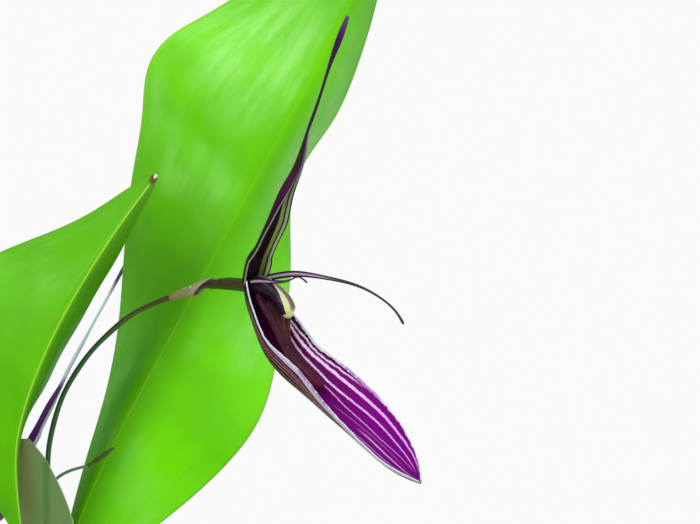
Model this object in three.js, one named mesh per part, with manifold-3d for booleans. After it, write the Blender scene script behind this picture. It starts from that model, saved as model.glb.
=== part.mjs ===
// A potted Restrepia orchid, in millimetres, with +Z up.
// The origin is the centre of the pot's flat base, and +Y points away from the viewer.
import * as THREE from 'three';
import { mergeVertices } from 'three/addons/utils/BufferGeometryUtils.js';
import Module from 'manifold-3d';

const wasm = await Module();
wasm.setup();

// Clearance between pieces that touch, and a wider one for a tilted foot and for the moss in its pot
const GAP = 0.3;
const WIDE_GAP = 0.5;

// Driving dimensions of the pot and of the moss in it
const POT_HEIGHT = 58;
const POT_BASE_RADIUS = 24;
const POT_RIM_RADIUS = 36;
const POT_RIM_HEIGHT = 14;
const POT_RIM_STEP = 2.2;
const POT_WALL = 3.2;
const POT_FLOOR = 4;
const DRAIN_RADIUS = 3.6;
const DRAIN_RING = 13;
const DRAIN_COUNT = 3;
const DRAIN_SIDES = 16;
const MOSS_EDGE_HEIGHT = 55;
const MOSS_MOUND = 4.5;
const MOSS_RIPPLE = 0.5;

// Driving dimensions of the plant
const RHIZOME_RADIUS = 1.7;
const RHIZOME_LIFT = 0.3;
const ROOT_RADIUS = 0.9;
const RAMICAUL_RADIUS = 0.85;
const STEM_STRAIGHT_TOP = 10;
const STEM_KNEE = { share: 0.4, rise: 1 };
const SHEATH_CLEARANCE = 0.45;
const SHEATH_SPAN = [0.08, 0.8];
const LEAF_THICKNESS = 0.8;
const KEEL_ROUND = 0.06;
const SHEATH_THICKNESS = 0.3;
const SHEATH_FLARE = 0.7;
const SHEATH_TIERS = 3;
const PEDUNCLE_RADIUS = 0.3;
const BRACT_CLEARANCE = 0.25;
const BRACT_THICKNESS = 0.2;
const BRACT_LENGTH = 5.2;
const BRACT_FLARE = 0.15;
const OVARY_RADIUS = 0.6;
const OVARY_LENGTH = 5.8;
const OVARY_SHARES = [0.6, 1, 0.95, 0.6];
const SEPAL_THICKNESS = 0.4;
const THREAD_WIDTH = 0.3;
const LIP_THICKNESS = 0.7;
const FLOWER_AZIMUTH = -42;
const PETAL_SPREADS = { left: 30, right: 20 };

// The creeping stem, as plan positions from its old end to its growing end
const RHIZOME_PLAN = [[-24, -9], [-17, -4], [-9, 2], [-1, 6], [8, 7], [16, 3], [23, -4]];

// Half widths in millimetres and fold angles in degrees at even stations from a leaf's base to its tip
const PLAIN_HALF_WIDTHS = [0.05, 0.2, 0.62, 0.85, 0.96, 1, 0.98, 0.9, 0.72, 0.42, 0.03];
const PLAIN_BENDS = [70, 55, 38, 30, 27, 25, 25, 26, 28, 32, 34];

// The two leaves that stand beside the open flower, each with its keel towards the viewer
const FLOWERING_LEAF = {
  line: [[-1.5, 12, 104.5], [4.1, 12, 118], [10.3, 12, 130.2], [16.5, 12, 141.6], [23.3, 12, 154.3],
    [29.1, 12, 165.2], [34.3, 12, 176.4]],
  leftHalfWidths: [0.5, 2.8, 5.6, 8.4, 10.8, 12.5, 13.7, 14.3, 14.7, 15, 15.5, 16, 16.1, 16.1, 14.9, 13.1,
    12.2, 10.7, 8.3, 4.8, 0.3],
  rightHalfWidths: [0.5, 5.8, 10.6, 13.2, 14.4, 14.8, 16.1, 15.6, 12.9, 7.6, 0.3],
  leftBends: [89, 81, 78, 72, 59, 44, 28, 6, 27, 41, 50],
  rightBends: [20, 11, 17, 24, 43, 59, 80, 79, 78, 77, 76],
};
const SHORT_LEAF = {
  line: [[-2.6, 0, 111.4], [-3.4, 0, 118.2], [-3, 0, 123.7], [-0.8, 0, 130.2], [2.5, 0, 136.7],
    [6.5, 0, 143], [10.7, 0, 148.7]],
  leftHalfWidths: [0.5, 2.4, 5.7, 9.2, 11.6, 12.8, 13.1, 12.7, 11.2, 8.9, 6.3, 3.5, 0.4],
  rightHalfWidths: [0.5, 2.4, 5.1, 7.6, 9.9, 12, 12.8, 12.3, 10.8, 8.7, 6.1, 3.5, 0.4],
  leftBends: [40, 36, 30, 22, 18, 22, 28, 42, 55, 58, 50],
  rightBends: [113, 114, 114, 111, 95, 91, 88, 86, 83, 81, 72],
};

// Each shoot: where it leaves the rhizome (0 to 1), where its stem ends and its leaf begins, and the leaf.
// A plain leaf leans from the vertical by the first angle at its base and by the second at its tip.
const SHOOTS = [
  { foot: 0.46, apex: [-1.5, 12, 104.5], leaf: FLOWERING_LEAF },
  { foot: 0.34, apex: [-2.6, 0, 111.4], leaf: SHORT_LEAF },
  { foot: 0.05, apex: [-27, -6, 98], azimuth: 184, leans: [15, 48], length: 60, halfWidth: 13 },
  { foot: 0.17, apex: [-21, 7, 102], azimuth: 150, leans: [6, 32], length: 64, halfWidth: 13.5 },
  { foot: 0.64, apex: [8, 19, 84], azimuth: 66, leans: [42, 74], length: 45, halfWidth: 12 },
  { foot: 0.75, apex: [16, 9, 84], azimuth: 8, leans: [35, 75], length: 46, halfWidth: 12 },
  { foot: 0.87, apex: [23, -7, 84], azimuth: -42, leans: [30, 68], length: 46, halfWidth: 11.5 },
  { foot: 0.97, apex: [26, 1, 75], azimuth: 24, leans: [22, 52], length: 32, halfWidth: 8.5 },
  { foot: 0.25, apex: [-11, -12, 91], azimuth: 254, leans: [24, 60], length: 52, halfWidth: 12 },
];

// Outlines of one flower in its own frame: +X the way it faces, +Y its left side and +Z up
const SYNSEPAL = {
  line: [[-1, 0, -1], [-0.75, 0, -2], [0.42, 0, -4.21], [1.78, 0, -6.65], [3.9, 0, -8.78], [7.22, 0, -10.79],
    [10.77, 0, -12.86], [14.55, 0, -15.02], [18.81, 0, -17.68], [21.86, 0, -18.78]],
  halfWidths: [1.8, 2.2, 2.75, 2.95, 2.81, 3.26, 3.77, 3.74, 2.41, 0.3],
  depths: [1.9, 2.25, 2.89, 3.5, 3.7, 3.6, 3.18, 2.44, 1.34, 0.02],
  opening: 1,
};
const DORSAL_SEPAL = {
  line: [[-0.93, 0, 1.3], [-0.41, 0, 2.93], [0.49, 0, 4], [1.37, 0, 5.42], [2.2, 0, 6.75], [3, 0, 8.2],
    [4.13, 0, 9.76], [5.5, 0, 11.4], [6.5, 0, 13.5], [7.4, 0, 15.8], [8.8, 0, 18.7], [10.1, 0, 21.7],
    [11.4, 0, 24.3], [12.5, 0, 26.5]],
  halfWidths: [1.56, 1.7, 1.4, 1.3, 1.2, 0.85, 0.5, 0.28, 0.2, 0.16, 0.19, 0.3, 0.29, 0.11],
  depths: [1.29, 1.25, 1.06, 1, 0.95, 0.65, 0.3, 0.06, 0.04, 0.04, 0.04, 0.05, 0.05, 0.02],
  opening: -1,
};
const LIP = {
  line: [[1, 0, -0.95], [2.1, 0, -2.2], [3.2, 0, -3.8], [4.2, 0, -5.6], [5.9, 0, -7.4], [7.8, 0, -9],
    [9.3, 0, -10.3]],
  halfWidths: [0.9, 1.9, 1.6, 1.1, 1.25, 1.2, 0.5],
  depths: [0.3, 0.9, 0.6, 0.35, 0.3, 0.25, 0.1],
  opening: 1,
};
// Distance out from the flower's middle and height, for each petal thread
const DROOPING_PETAL = [[0, 0.5], [2, 1.15], [4, 1.25], [7, 0.75], [10, -0.15], [12.7, -1.9], [14, -3.7]];
const LEVEL_PETAL = [[0, 0.5], [2.4, 0.6], [5, 0.5], [7.5, 0.4], [9.3, 0.7], [10.6, 0.95], [12, 0.95],
  [13.4, 0.45]];
const PETAL_ROOT = [0.65, 1.15];
const PETAL_RADII = [0.3, 0.3, 0.22, 0.16, 0.14, 0.14, 0.24];
const COLUMN_LINE = [[0.5, 0, 0.2], [1.5, 0, 0.3], [2.5, 0, -0.2], [3.3, 0, -0.9], [4.1, 0, -1.9]];
const COLUMN_RADII = [0.5, 0.6, 0.75, 0.85, 0.9];
const ANTHER_CAP = { centre: [4.55, 0, -2.95], radius: 0.55 };

// Where each flower's middle sits, the way it faces and the way its top points, and how far open its dorsal
// sepal's hood is
const FACING = THREE.MathUtils.degToRad(FLOWER_AZIMUTH);
const OPEN_FLOWER = {
  middle: [20.5, 0, 137.5],
  forward: [Math.cos(FACING), Math.sin(FACING), 0],
  top: [0, 0, 1],
  hood: 1,
};
const REAR_FLOWER = {
  middle: [-4.55, 16.2, 119.4],
  forward: [-0.308, 0.949, -0.074],
  top: [0.526, 0.234, 0.818],
  hood: 0.6,
};
// The stalk of each flower, from behind the flower down to the leaf base that it grows from
const OPEN_FLOWER_STALK = [[20.17, 0.3, 137.55], [18, 2.25, 137.8], [15.75, 4.25, 137.65], [13.2, 6.1, 136.9],
  [10.3, 7.7, 135.9], [7.5, 8.4, 134.5], [5.2, 8.7, 132.6], [3.2, 8.7, 130.5], [1.2, 8.6, 127.5],
  [0, 8.6, 124.7], [-0.75, 8.7, 121.7], [-1, 8.8, 118.7], [-1, 9, 113.1], [-0.75, 10.1, 107.5],
  [-0.7, 10.85, 103.5]];
const REAR_FLOWER_STALK = [[-4.41, 15.77, 119.45], [-4.05, 14.5, 119.2], [-3.7, 13.6, 117.9],
  [-3.4, 13, 115.6], [-3.1, 12.4, 112.5], [-2.85, 11.7, 109], [-2.8, 11.1, 106], [-2.75, 10.8, 103.5]];
const SPENT_STALK = [[3.05, 9.9, 119.05], [0.9, 9.9, 118.4], [-0.9, 10.1, 116.9], [-2, 10, 113.6],
  [-1.9, 9.9, 109], [-1.75, 10.3, 106], [-1.8, 10.3, 103.5]];
const SPENT_FLOWER_LINE = [[3.35, 9.92, 119.2], [4.4, 9.9, 119.9], [5.5, 10.1, 120.8]];
const BUD_STALK = [[-36.5, 15.3, 113], [-33, 14.2, 112.6], [-28.6, 12.1, 109.6], [-25, 9.8, 105.5],
  [-23, 8.2, 102.5], [-22.4, 7.8, 100.5]];
const BUD_LINE = [[-36.9, 15.4, 113], [-39.6, 16, 112.6], [-42, 16.6, 111.3], [-43.6, 17, 109.4]];

// The papery bract round the stalks at the base of the flowering leaf
const SPATHE = {
  line: [[-1.8, 9.2, 104], [-1.4, 8.2, 108.5], [-1.6, 7.3, 113.3], [-2.4, 6.7, 117.5], [-2.95, 6.5, 120],
    [-3.2, 6.5, 122]],
  halfWidths: [2.4, 2.9, 3.1, 2.45, 1.75, 0.5],
  depths: [2.3, 2.3, 2.1, 1.4, 0.8, 0.2],
};

// Roots: plan positions and heights above the moss, from the rhizome outwards
const ROOTS = [
  [[-10.5, -1.9, 0.3], [-9, -7, 1.5], [-5, -13, 0.9], [-1, -19, 0.2], [2, -24, -2.5]],
  [[3, 9.4, 0.3], [3.5, 14, 1.6], [0, 20, 1.2], [-6, 24, 0.4], [-10, 26, -2.5]],
  [[-20, -3.2, 0.3], [-23, 3, 1.6], [-23, 10, 0.8], [-19, 16, 0.2], [-15, 19, -2.5]],
];
// One root goes over the rim: distance from the pot's axis and height
const RIM_ROOT_AZIMUTH = -17;
const RIM_ROOT = [[26.4, 58.3], [29.5, 59.4], [33, 60.1], [36, 59.9], [37.6, 58.4], [37.8, 54.5],
  [37.7, 49.5]];

// Colours, roughness and metalness
const MATERIALS = {
  terracotta: new THREE.MeshStandardMaterial({ color: 0xb9663f, roughness: 0.85, metalness: 0 }),
  moss: new THREE.MeshStandardMaterial({ color: 0x9a8f52, roughness: 1, metalness: 0 }),
  rhizome: new THREE.MeshStandardMaterial({ color: 0x6e6236, roughness: 0.8, metalness: 0 }),
  root: new THREE.MeshStandardMaterial({ color: 0xcfcab4, roughness: 0.8, metalness: 0 }),
  stem: new THREE.MeshStandardMaterial({ color: 0x6f9434, roughness: 0.5, metalness: 0 }),
  leaf: new THREE.MeshStandardMaterial({ color: 0x62b40c, roughness: 0.4, metalness: 0 }),
  sheath: new THREE.MeshStandardMaterial({ color: 0xb7b088, roughness: 0.7, metalness: 0 }),
  peduncle: new THREE.MeshStandardMaterial({ color: 0x4f6a26, roughness: 0.5, metalness: 0 }),
  ovary: new THREE.MeshStandardMaterial({ color: 0x3f3f14, roughness: 0.5, metalness: 0 }),
  sepal: new THREE.MeshStandardMaterial({ color: 0x8a2f7c, roughness: 0.4, metalness: 0 }),
  petal: new THREE.MeshStandardMaterial({ color: 0x4b2a4a, roughness: 0.4, metalness: 0 }),
  lip: new THREE.MeshStandardMaterial({ color: 0x63184a, roughness: 0.4, metalness: 0 }),
  column: new THREE.MeshStandardMaterial({ color: 0x2c1030, roughness: 0.3, metalness: 0 }),
  anther: new THREE.MeshStandardMaterial({ color: 0xc6c49e, roughness: 0.4, metalness: 0 }),
  withered: new THREE.MeshStandardMaterial({ color: 0x5a4423, roughness: 0.9, metalness: 0 }),
};

const group = new THREE.Group();

function addPiece(name, geometry, material, parent = group) {
  const mesh = new THREE.Mesh(geometry, material);
  mesh.name = name;
  parent.add(mesh);
  return mesh;
}

const vector = (point) => new THREE.Vector3(...point);

// A smooth curve that passes through every point of a list
const curveThrough = (points) => new THREE.CatmullRomCurve3(points.map(vector), false, 'catmullrom', 0.5);

// The value at u, from 0 to 1, on a smooth curve through evenly spaced stations
const along = (stations, u) => curveThrough(stations.map((value) => [value, 0, 0])).getPoint(u).x;

function geometryOf(points, faces) {
  const geometry = new THREE.BufferGeometry().setFromPoints(points);
  geometry.setIndex(faces);
  geometry.computeVertexNormals();
  return geometry;
}

// Booleans: a closed geometry as a solid, and a solid as a geometry
function solidOf(geometry) {
  const bare = geometry.clone();
  bare.deleteAttribute('normal');
  bare.deleteAttribute('uv');
  const merged = mergeVertices(bare);
  return new wasm.Manifold(new wasm.Mesh({
    numProp: 3,
    vertProperties: merged.attributes.position.array,
    triVerts: new Uint32Array(merged.index.array),
  }));
}

function geometryFromSolid(solid) {
  const mesh = solid.getMesh();
  const geometry = new THREE.BufferGeometry();
  geometry.setAttribute('position', new THREE.BufferAttribute(mesh.vertProperties, mesh.numProp));
  geometry.setIndex(new THREE.BufferAttribute(mesh.triVerts, 1));
  geometry.computeVertexNormals();
  return geometry;
}

// A closed skin over rings of points, each turning anticlockwise seen from the last ring.
// Each ring joins the next, and a fan of triangles closes each end.
function loft(rings) {
  const sides = rings[0].length;
  const points = rings.flat();
  const faces = [];
  for (let i = 0; i + 1 < rings.length; i += 1) {
    for (let j = 0; j < sides; j += 1) {
      const a = i * sides + j;
      const b = i * sides + (j + 1) % sides;
      faces.push(a, b, b + sides, a, b + sides, a + sides);
    }
  }
  const ends = [{ ring: 0, turned: true }, { ring: rings.length - 1, turned: false }];
  for (const { ring, turned } of ends) {
    const middle = new THREE.Vector3();
    rings[ring].forEach((point) => middle.addScaledVector(point, 1 / sides));
    const hub = points.push(middle) - 1;
    for (let j = 0; j < sides; j += 1) {
      const a = ring * sides + j;
      const b = ring * sides + (j + 1) % sides;
      faces.push(hub, turned ? b : a, turned ? a : b);
    }
  }
  return geometryOf(points, faces);
}

// A closed tube of varying radius along a curve
function tube(points, radii, steps, sides) {
  const curve = curveThrough(points);
  const frames = curve.computeFrenetFrames(steps, false);
  const rings = [];
  for (let i = 0; i <= steps; i += 1) {
    const centre = curve.getPointAt(i / steps);
    const radius = along(radii, i / steps);
    const ring = [];
    for (let j = 0; j < sides; j += 1) {
      const angle = (2 * Math.PI * j) / sides;
      ring.push(centre.clone()
        .addScaledVector(frames.normals[i], radius * Math.cos(angle))
        .addScaledVector(frames.binormals[i], radius * Math.sin(angle)));
    }
    rings.push(ring);
  }
  return loft(rings);
}

// A sheet of even thickness over a grid of points, closed round its edge. The inner share of the thickness
// lies behind the grid, and the rest in front of it.
function sheet(grid, thickness, innerShare = 0.5) {
  const rows = grid.length;
  const columns = grid[0].length;
  const normals = grid.map((row, i) => row.map((point, j) => {
    const across = row[Math.min(j + 1, columns - 1)].clone().sub(row[Math.max(j - 1, 0)]);
    const lengthwise = grid[Math.min(i + 1, rows - 1)][j].clone().sub(grid[Math.max(i - 1, 0)][j]);
    return across.cross(lengthwise).normalize();
  }));
  const shift = (distance) => grid.flatMap((row, i) => row.map((point, j) => (
    point.clone().addScaledVector(normals[i][j], distance))));
  const points = [...shift(thickness * (1 - innerShare)), ...shift(-thickness * innerShare)];
  const back = rows * columns;
  const faces = [];
  for (let i = 0; i + 1 < rows; i += 1) {
    for (let j = 0; j + 1 < columns; j += 1) {
      const a = i * columns + j;
      const b = a + 1;
      const c = b + columns;
      const d = a + columns;
      faces.push(a, b, c, a, c, d, back + a, back + c, back + b, back + a, back + d, back + c);
    }
  }
  const rim = [];
  for (let j = 0; j < columns; j += 1) rim.push(j);
  for (let i = 1; i < rows; i += 1) rim.push(i * columns + columns - 1);
  for (let j = columns - 2; j >= 0; j -= 1) rim.push((rows - 1) * columns + j);
  for (let i = rows - 2; i > 0; i -= 1) rim.push(i * columns);
  rim.forEach((p, k) => {
    const q = rim[(k + 1) % rim.length];
    faces.push(p, back + p, back + q, p, back + q, q);
  });
  return geometryOf(points, faces);
}

// A folded leaf: each half is straight beyond a rounded keel, and turns away from the keel's side.
// Its thickness lies on the keel's side of the grid, where the two halves can't pass through each other.
const LEAF_COLUMNS = [-1, -0.6, -0.22, 0, 0.22, 0.6, 1];
const LEAF_ROWS = 11;
function leafBlade({
  line, halfWidths, leftHalfWidths = halfWidths, rightHalfWidths = halfWidths, leftBends, rightBends, facing,
}) {
  const curve = curveThrough(line);
  const grid = [];
  for (let i = 0; i <= LEAF_ROWS; i += 1) {
    const u = i / LEAF_ROWS;
    const tangent = curve.getTangent(u);
    const outward = vector(facing).addScaledVector(tangent, -vector(facing).dot(tangent)).normalize();
    const right = tangent.clone().cross(outward);
    grid.push(LEAF_COLUMNS.map((v) => {
      const halfWidth = along(v < 0 ? leftHalfWidths : rightHalfWidths, u);
      const bend = THREE.MathUtils.degToRad(along(v < 0 ? leftBends : rightBends, u));
      const reach = Math.abs(v);
      const rounding = KEEL_ROUND * (1 - Math.exp(-reach / KEEL_ROUND));
      const sideways = reach * Math.cos(bend) + rounding * (1 - Math.cos(bend));
      const backwards = (reach - rounding) * Math.sin(bend);
      return curve.getPoint(u)
        .addScaledVector(right, Math.sign(v) * halfWidth * sideways)
        .addScaledVector(outward, -halfWidth * backwards);
    }));
  }
  return sheet(grid, LEAF_THICKNESS, 0);
}

// The midrib of a plain leaf: its lean from the vertical turns evenly towards one azimuth
const MIDRIB_POINTS = 7;
function leaningLine(base, azimuth, leans, length) {
  const turn = THREE.MathUtils.degToRad(azimuth);
  const [start, end] = leans.map(THREE.MathUtils.degToRad);
  const points = [base];
  for (let i = 1; i < MIDRIB_POINTS; i += 1) {
    const lean = start + ((end - start) * (i - 0.5)) / (MIDRIB_POINTS - 1);
    const step = length / (MIDRIB_POINTS - 1);
    const [x, y, z] = points[i - 1];
    const out = step * Math.sin(lean);
    points.push([x + out * Math.cos(turn), y + out * Math.sin(turn), z + step * Math.cos(lean)]);
  }
  return points;
}

// A channelled sepal, lip or bract: its edges rise from its middle line by the given depths
const CHANNEL_COLUMNS = 7;
const CHANNEL_POWER = 1.8;
function channel({ line, halfWidths, depths, opening }, side, rows, thickness) {
  const curve = curveThrough(line);
  const grid = [];
  for (let i = 0; i <= rows; i += 1) {
    const u = i / rows;
    const rise = curve.getTangent(u).cross(side).multiplyScalar(opening).normalize();
    const row = [];
    for (let j = 0; j < CHANNEL_COLUMNS; j += 1) {
      const v = (2 * j) / (CHANNEL_COLUMNS - 1) - 1;
      row.push(curve.getPoint(u)
        .addScaledVector(side, along(halfWidths, u) * v)
        .addScaledVector(rise, along(depths, u) * Math.abs(v) ** CHANNEL_POWER));
    }
    grid.push(row);
  }
  return sheet(grid, thickness);
}

// A split sleeve round part of a stem, as tiers that each flare towards the top
const SLEEVE_COLUMNS = 8;
const SLEEVE_TURN = 300;
const SLEEVE_STEPS = 60;
const TIER_SHARES = [0, 0.47, 0.94];
function sleeve(points, [from, to], innerRadius, flare, tiers, thickness) {
  const curve = curveThrough(points);
  const frames = curve.computeFrenetFrames(SLEEVE_STEPS, false);
  const grid = [];
  for (let tier = 0; tier < tiers; tier += 1) {
    for (const share of TIER_SHARES) {
      const u = from + ((to - from) * (tier + share)) / tiers;
      const frame = Math.round(u * SLEEVE_STEPS);
      const radius = innerRadius + thickness / 2 + flare * share;
      const row = [];
      for (let j = 0; j < SLEEVE_COLUMNS; j += 1) {
        const angle = THREE.MathUtils.degToRad((SLEEVE_TURN * j) / (SLEEVE_COLUMNS - 1));
        row.push(curve.getPointAt(u)
          .addScaledVector(frames.normals[frame], radius * Math.cos(angle))
          .addScaledVector(frames.binormals[frame], radius * Math.sin(angle)));
      }
      grid.push(row);
    }
  }
  return sheet(grid, thickness);
}

// Pot: a turned wall with a stepped rim, with drain holes round the floor's middle
const POT_SEGMENTS = 36;
const rimFoot = POT_HEIGHT - POT_RIM_HEIGHT;
const bodyTopRadius = POT_RIM_RADIUS - 1 - POT_RIM_STEP;
const innerRadiusAt = (z) => THREE.MathUtils.mapLinear(
  z, 0, POT_HEIGHT, POT_BASE_RADIUS - POT_WALL, POT_RIM_RADIUS - POT_WALL);

function potGeometry() {
  const profile = [
    [0, 0], [POT_BASE_RADIUS, 0], [bodyTopRadius, rimFoot], [POT_RIM_RADIUS - 1, rimFoot],
    [POT_RIM_RADIUS, POT_HEIGHT], [innerRadiusAt(POT_HEIGHT), POT_HEIGHT],
    [innerRadiusAt(POT_FLOOR), POT_FLOOR], [0, POT_FLOOR],
  ];
  const points = profile.map(([r, z]) => new THREE.Vector2(r, z));
  let solid = solidOf(new THREE.LatheGeometry(points, POT_SEGMENTS).rotateX(Math.PI / 2));
  for (let i = 0; i < DRAIN_COUNT; i += 1) {
    const angle = (2 * Math.PI * (i + 0.5)) / DRAIN_COUNT;
    const drain = new THREE.CylinderGeometry(DRAIN_RADIUS, DRAIN_RADIUS, 3 * POT_FLOOR, DRAIN_SIDES)
      .rotateX(Math.PI / 2)
      .translate(DRAIN_RING * Math.cos(angle), DRAIN_RING * Math.sin(angle), POT_FLOOR / 2);
    solid = solid.subtract(solidOf(drain));
  }
  return geometryFromSolid(solid);
}

// Height of the moss: a low mound with soft ripples
function mossHeight(x, y) {
  const share = Math.min(Math.hypot(x, y) / innerRadiusAt(MOSS_EDGE_HEIGHT), 1);
  const ripple = Math.sin(0.31 * x + 1) * Math.cos(0.27 * y - 0.6);
  return MOSS_EDGE_HEIGHT + (MOSS_MOUND + MOSS_RIPPLE * ripple) * (1 - share ** 2);
}

const rhizomeCurve = curveThrough(RHIZOME_PLAN.map(([x, y]) => [x, y, mossHeight(x, y) + RHIZOME_LIFT]));
const onRhizome = (share) => rhizomeCurve.getPoint(share);
const rhizomePath = [...Array(9).keys()].map((i) => onRhizome(i / 8).toArray());
const rhizomeTube = (path, radius) => tube(path, [radius, radius], 16, 8);

const rootPaths = ROOTS.map((root) => root.map(([x, y, lift]) => [x, y, mossHeight(x, y) + lift]));
rootPaths.push(RIM_ROOT.map(([r, z]) => {
  const turn = THREE.MathUtils.degToRad(RIM_ROOT_AZIMUTH);
  return [r * Math.cos(turn), r * Math.sin(turn), z];
}));
const rootTube = (path, radius) => tube(path, [radius, radius], 12, 6);

// A path carried on a little past both of its ends, for the bed of what lies along it
function lengthened(path) {
  const curve = curveThrough(path);
  const start = curve.getPoint(0).addScaledVector(curve.getTangent(0), -GAP).toArray();
  const end = curve.getPoint(1).addScaledVector(curve.getTangent(1), GAP).toArray();
  return [start, ...path.slice(1, -1), end];
}

// Moss: a plug that fills the pot, with the rhizome and the roots bedded into its top
const MOSS_SIDES = 28;
const MOSS_RING_SHARES = [1, 0.9, 0.76, 0.6, 0.42, 0.22];
function mossGeometry() {
  const ringAt = (radius, height) => [...Array(MOSS_SIDES).keys()].map((j) => {
    const angle = (2 * Math.PI * j) / MOSS_SIDES;
    const x = radius * Math.cos(angle);
    const y = radius * Math.sin(angle);
    return new THREE.Vector3(x, y, height(x, y));
  });
  const bottom = POT_FLOOR + GAP;
  const rings = [ringAt(innerRadiusAt(bottom) - WIDE_GAP, () => bottom)];
  for (const share of MOSS_RING_SHARES) {
    rings.push(ringAt((innerRadiusAt(MOSS_EDGE_HEIGHT) - WIDE_GAP) * share, mossHeight));
  }
  let solid = solidOf(loft(rings));
  solid = solid.subtract(solidOf(rhizomeTube(lengthened(rhizomePath), RHIZOME_RADIUS + GAP)));
  for (const path of rootPaths) {
    solid = solid.subtract(solidOf(rootTube(lengthened(path), ROOT_RADIUS + GAP)));
  }
  return geometryFromSolid(solid);
}

// A shoot: stem, split sheath and leaf
function addShoot(shoot, number) {
  const foot = onRhizome(shoot.foot).add(new THREE.Vector3(0, 0, RHIZOME_RADIUS + WIDE_GAP));
  const line = shoot.leaf ? shoot.leaf.line
    : leaningLine(shoot.apex, shoot.azimuth, shoot.leans, shoot.length);
  const rising = curveThrough(line).getTangent(0);
  const apex = vector(shoot.apex).addScaledVector(rising, -GAP);
  const below = apex.clone().addScaledVector(rising, -STEM_STRAIGHT_TOP);
  const knee = foot.clone().lerp(below, STEM_KNEE.share).add(new THREE.Vector3(0, 0, STEM_KNEE.rise));
  const stem = [foot, knee, below, apex].map((point) => point.toArray());
  addPiece(`ramicaul_${number}`, tube(stem, [RAMICAUL_RADIUS, RAMICAUL_RADIUS], 8, 6), MATERIALS.stem);
  const sheathRadius = RAMICAUL_RADIUS + SHEATH_CLEARANCE;
  addPiece(`sheath_${number}`,
    sleeve(stem, SHEATH_SPAN, sheathRadius, SHEATH_FLARE, SHEATH_TIERS, SHEATH_THICKNESS),
    MATERIALS.sheath);
  const turn = THREE.MathUtils.degToRad(shoot.azimuth ?? 0);
  const blade = shoot.leaf ? { ...shoot.leaf, facing: [0, -1, 0] } : {
    line,
    halfWidths: PLAIN_HALF_WIDTHS.map((share) => share * shoot.halfWidth),
    leftBends: PLAIN_BENDS,
    rightBends: PLAIN_BENDS,
    facing: [Math.cos(turn), Math.sin(turn), 0],
  };
  addPiece(`leaf_${number}`, leafBlade(blade), MATERIALS.leaf);
}

// A flower: its parts in its own frame, placed by its middle and the way it faces
function addFlower({ middle, forward, top, hood }, number) {
  const x = vector(forward).normalize();
  const y = vector(top).cross(x).normalize();
  const z = x.clone().cross(y);
  const flower = new THREE.Group();
  flower.applyMatrix4(new THREE.Matrix4().makeBasis(x, y, z).setPosition(...middle));
  group.add(flower);
  const side = new THREE.Vector3(0, 1, 0);
  addPiece(`synsepal_${number}`, channel(SYNSEPAL, side, 14, SEPAL_THICKNESS), MATERIALS.sepal, flower);
  const dorsalOutline = {
    ...DORSAL_SEPAL,
    halfWidths: DORSAL_SEPAL.halfWidths.map((value) => Math.min(value, Math.max(value * hood, THREAD_WIDTH))),
    depths: DORSAL_SEPAL.depths.map((value) => value * hood),
  };
  const dorsal = channel(dorsalOutline, side, 18, SEPAL_THICKNESS);
  addPiece(`dorsal_sepal_${number}`, dorsal, MATERIALS.sepal, flower);
  addPiece(`lip_${number}`, channel(LIP, side, 8, LIP_THICKNESS), MATERIALS.lip, flower);
  const petals = [['left', 1, DROOPING_PETAL], ['right', -1, LEVEL_PETAL]];
  for (const [name, hand, steps] of petals) {
    const turn = THREE.MathUtils.degToRad(PETAL_SPREADS[name]);
    const path = steps.map(([out, height]) => [
      PETAL_ROOT[0] + out * Math.cos(turn),
      hand * (PETAL_ROOT[1] + out * Math.sin(turn)),
      height,
    ]);
    addPiece(`${name}_petal_${number}`, tube(path, PETAL_RADII, 12, 6), MATERIALS.petal, flower);
  }
  addPiece(`column_${number}`, tube(COLUMN_LINE, COLUMN_RADII, 6, 8), MATERIALS.column, flower);
  const cap = new THREE.SphereGeometry(ANTHER_CAP.radius, 8, 6).translate(...ANTHER_CAP.centre);
  addPiece(`anther_cap_${number}`, cap, MATERIALS.anther, flower);
}

// A flower's stalk: the ovary, then the long peduncle, with a papery bract round the place where they meet
function addStalk(points, number) {
  const curve = curveThrough(points);
  const length = curve.getLength();
  const stretch = (from, to, count) => [...Array(count).keys()].map((i) => (
    curve.getPointAt((from + ((to - from) * i) / (count - 1)) / length).toArray()));
  const peduncleStart = OVARY_LENGTH + GAP;
  addPiece(`ovary_${number}`,
    tube(stretch(0, OVARY_LENGTH, 4), OVARY_SHARES.map((share) => share * OVARY_RADIUS), 5, 8),
    MATERIALS.ovary);
  addPiece(`peduncle_${number}`,
    tube(stretch(peduncleStart, length, 14), [PEDUNCLE_RADIUS, PEDUNCLE_RADIUS], 22, 6), MATERIALS.peduncle);
  const bract = stretch(OVARY_LENGTH + GAP, OVARY_LENGTH + BRACT_LENGTH, 5).reverse();
  addPiece(`floral_bract_${number}`,
    sleeve(bract, [0, 1], PEDUNCLE_RADIUS + BRACT_CLEARANCE, BRACT_FLARE, 1, BRACT_THICKNESS),
    MATERIALS.sheath);
}

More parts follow.
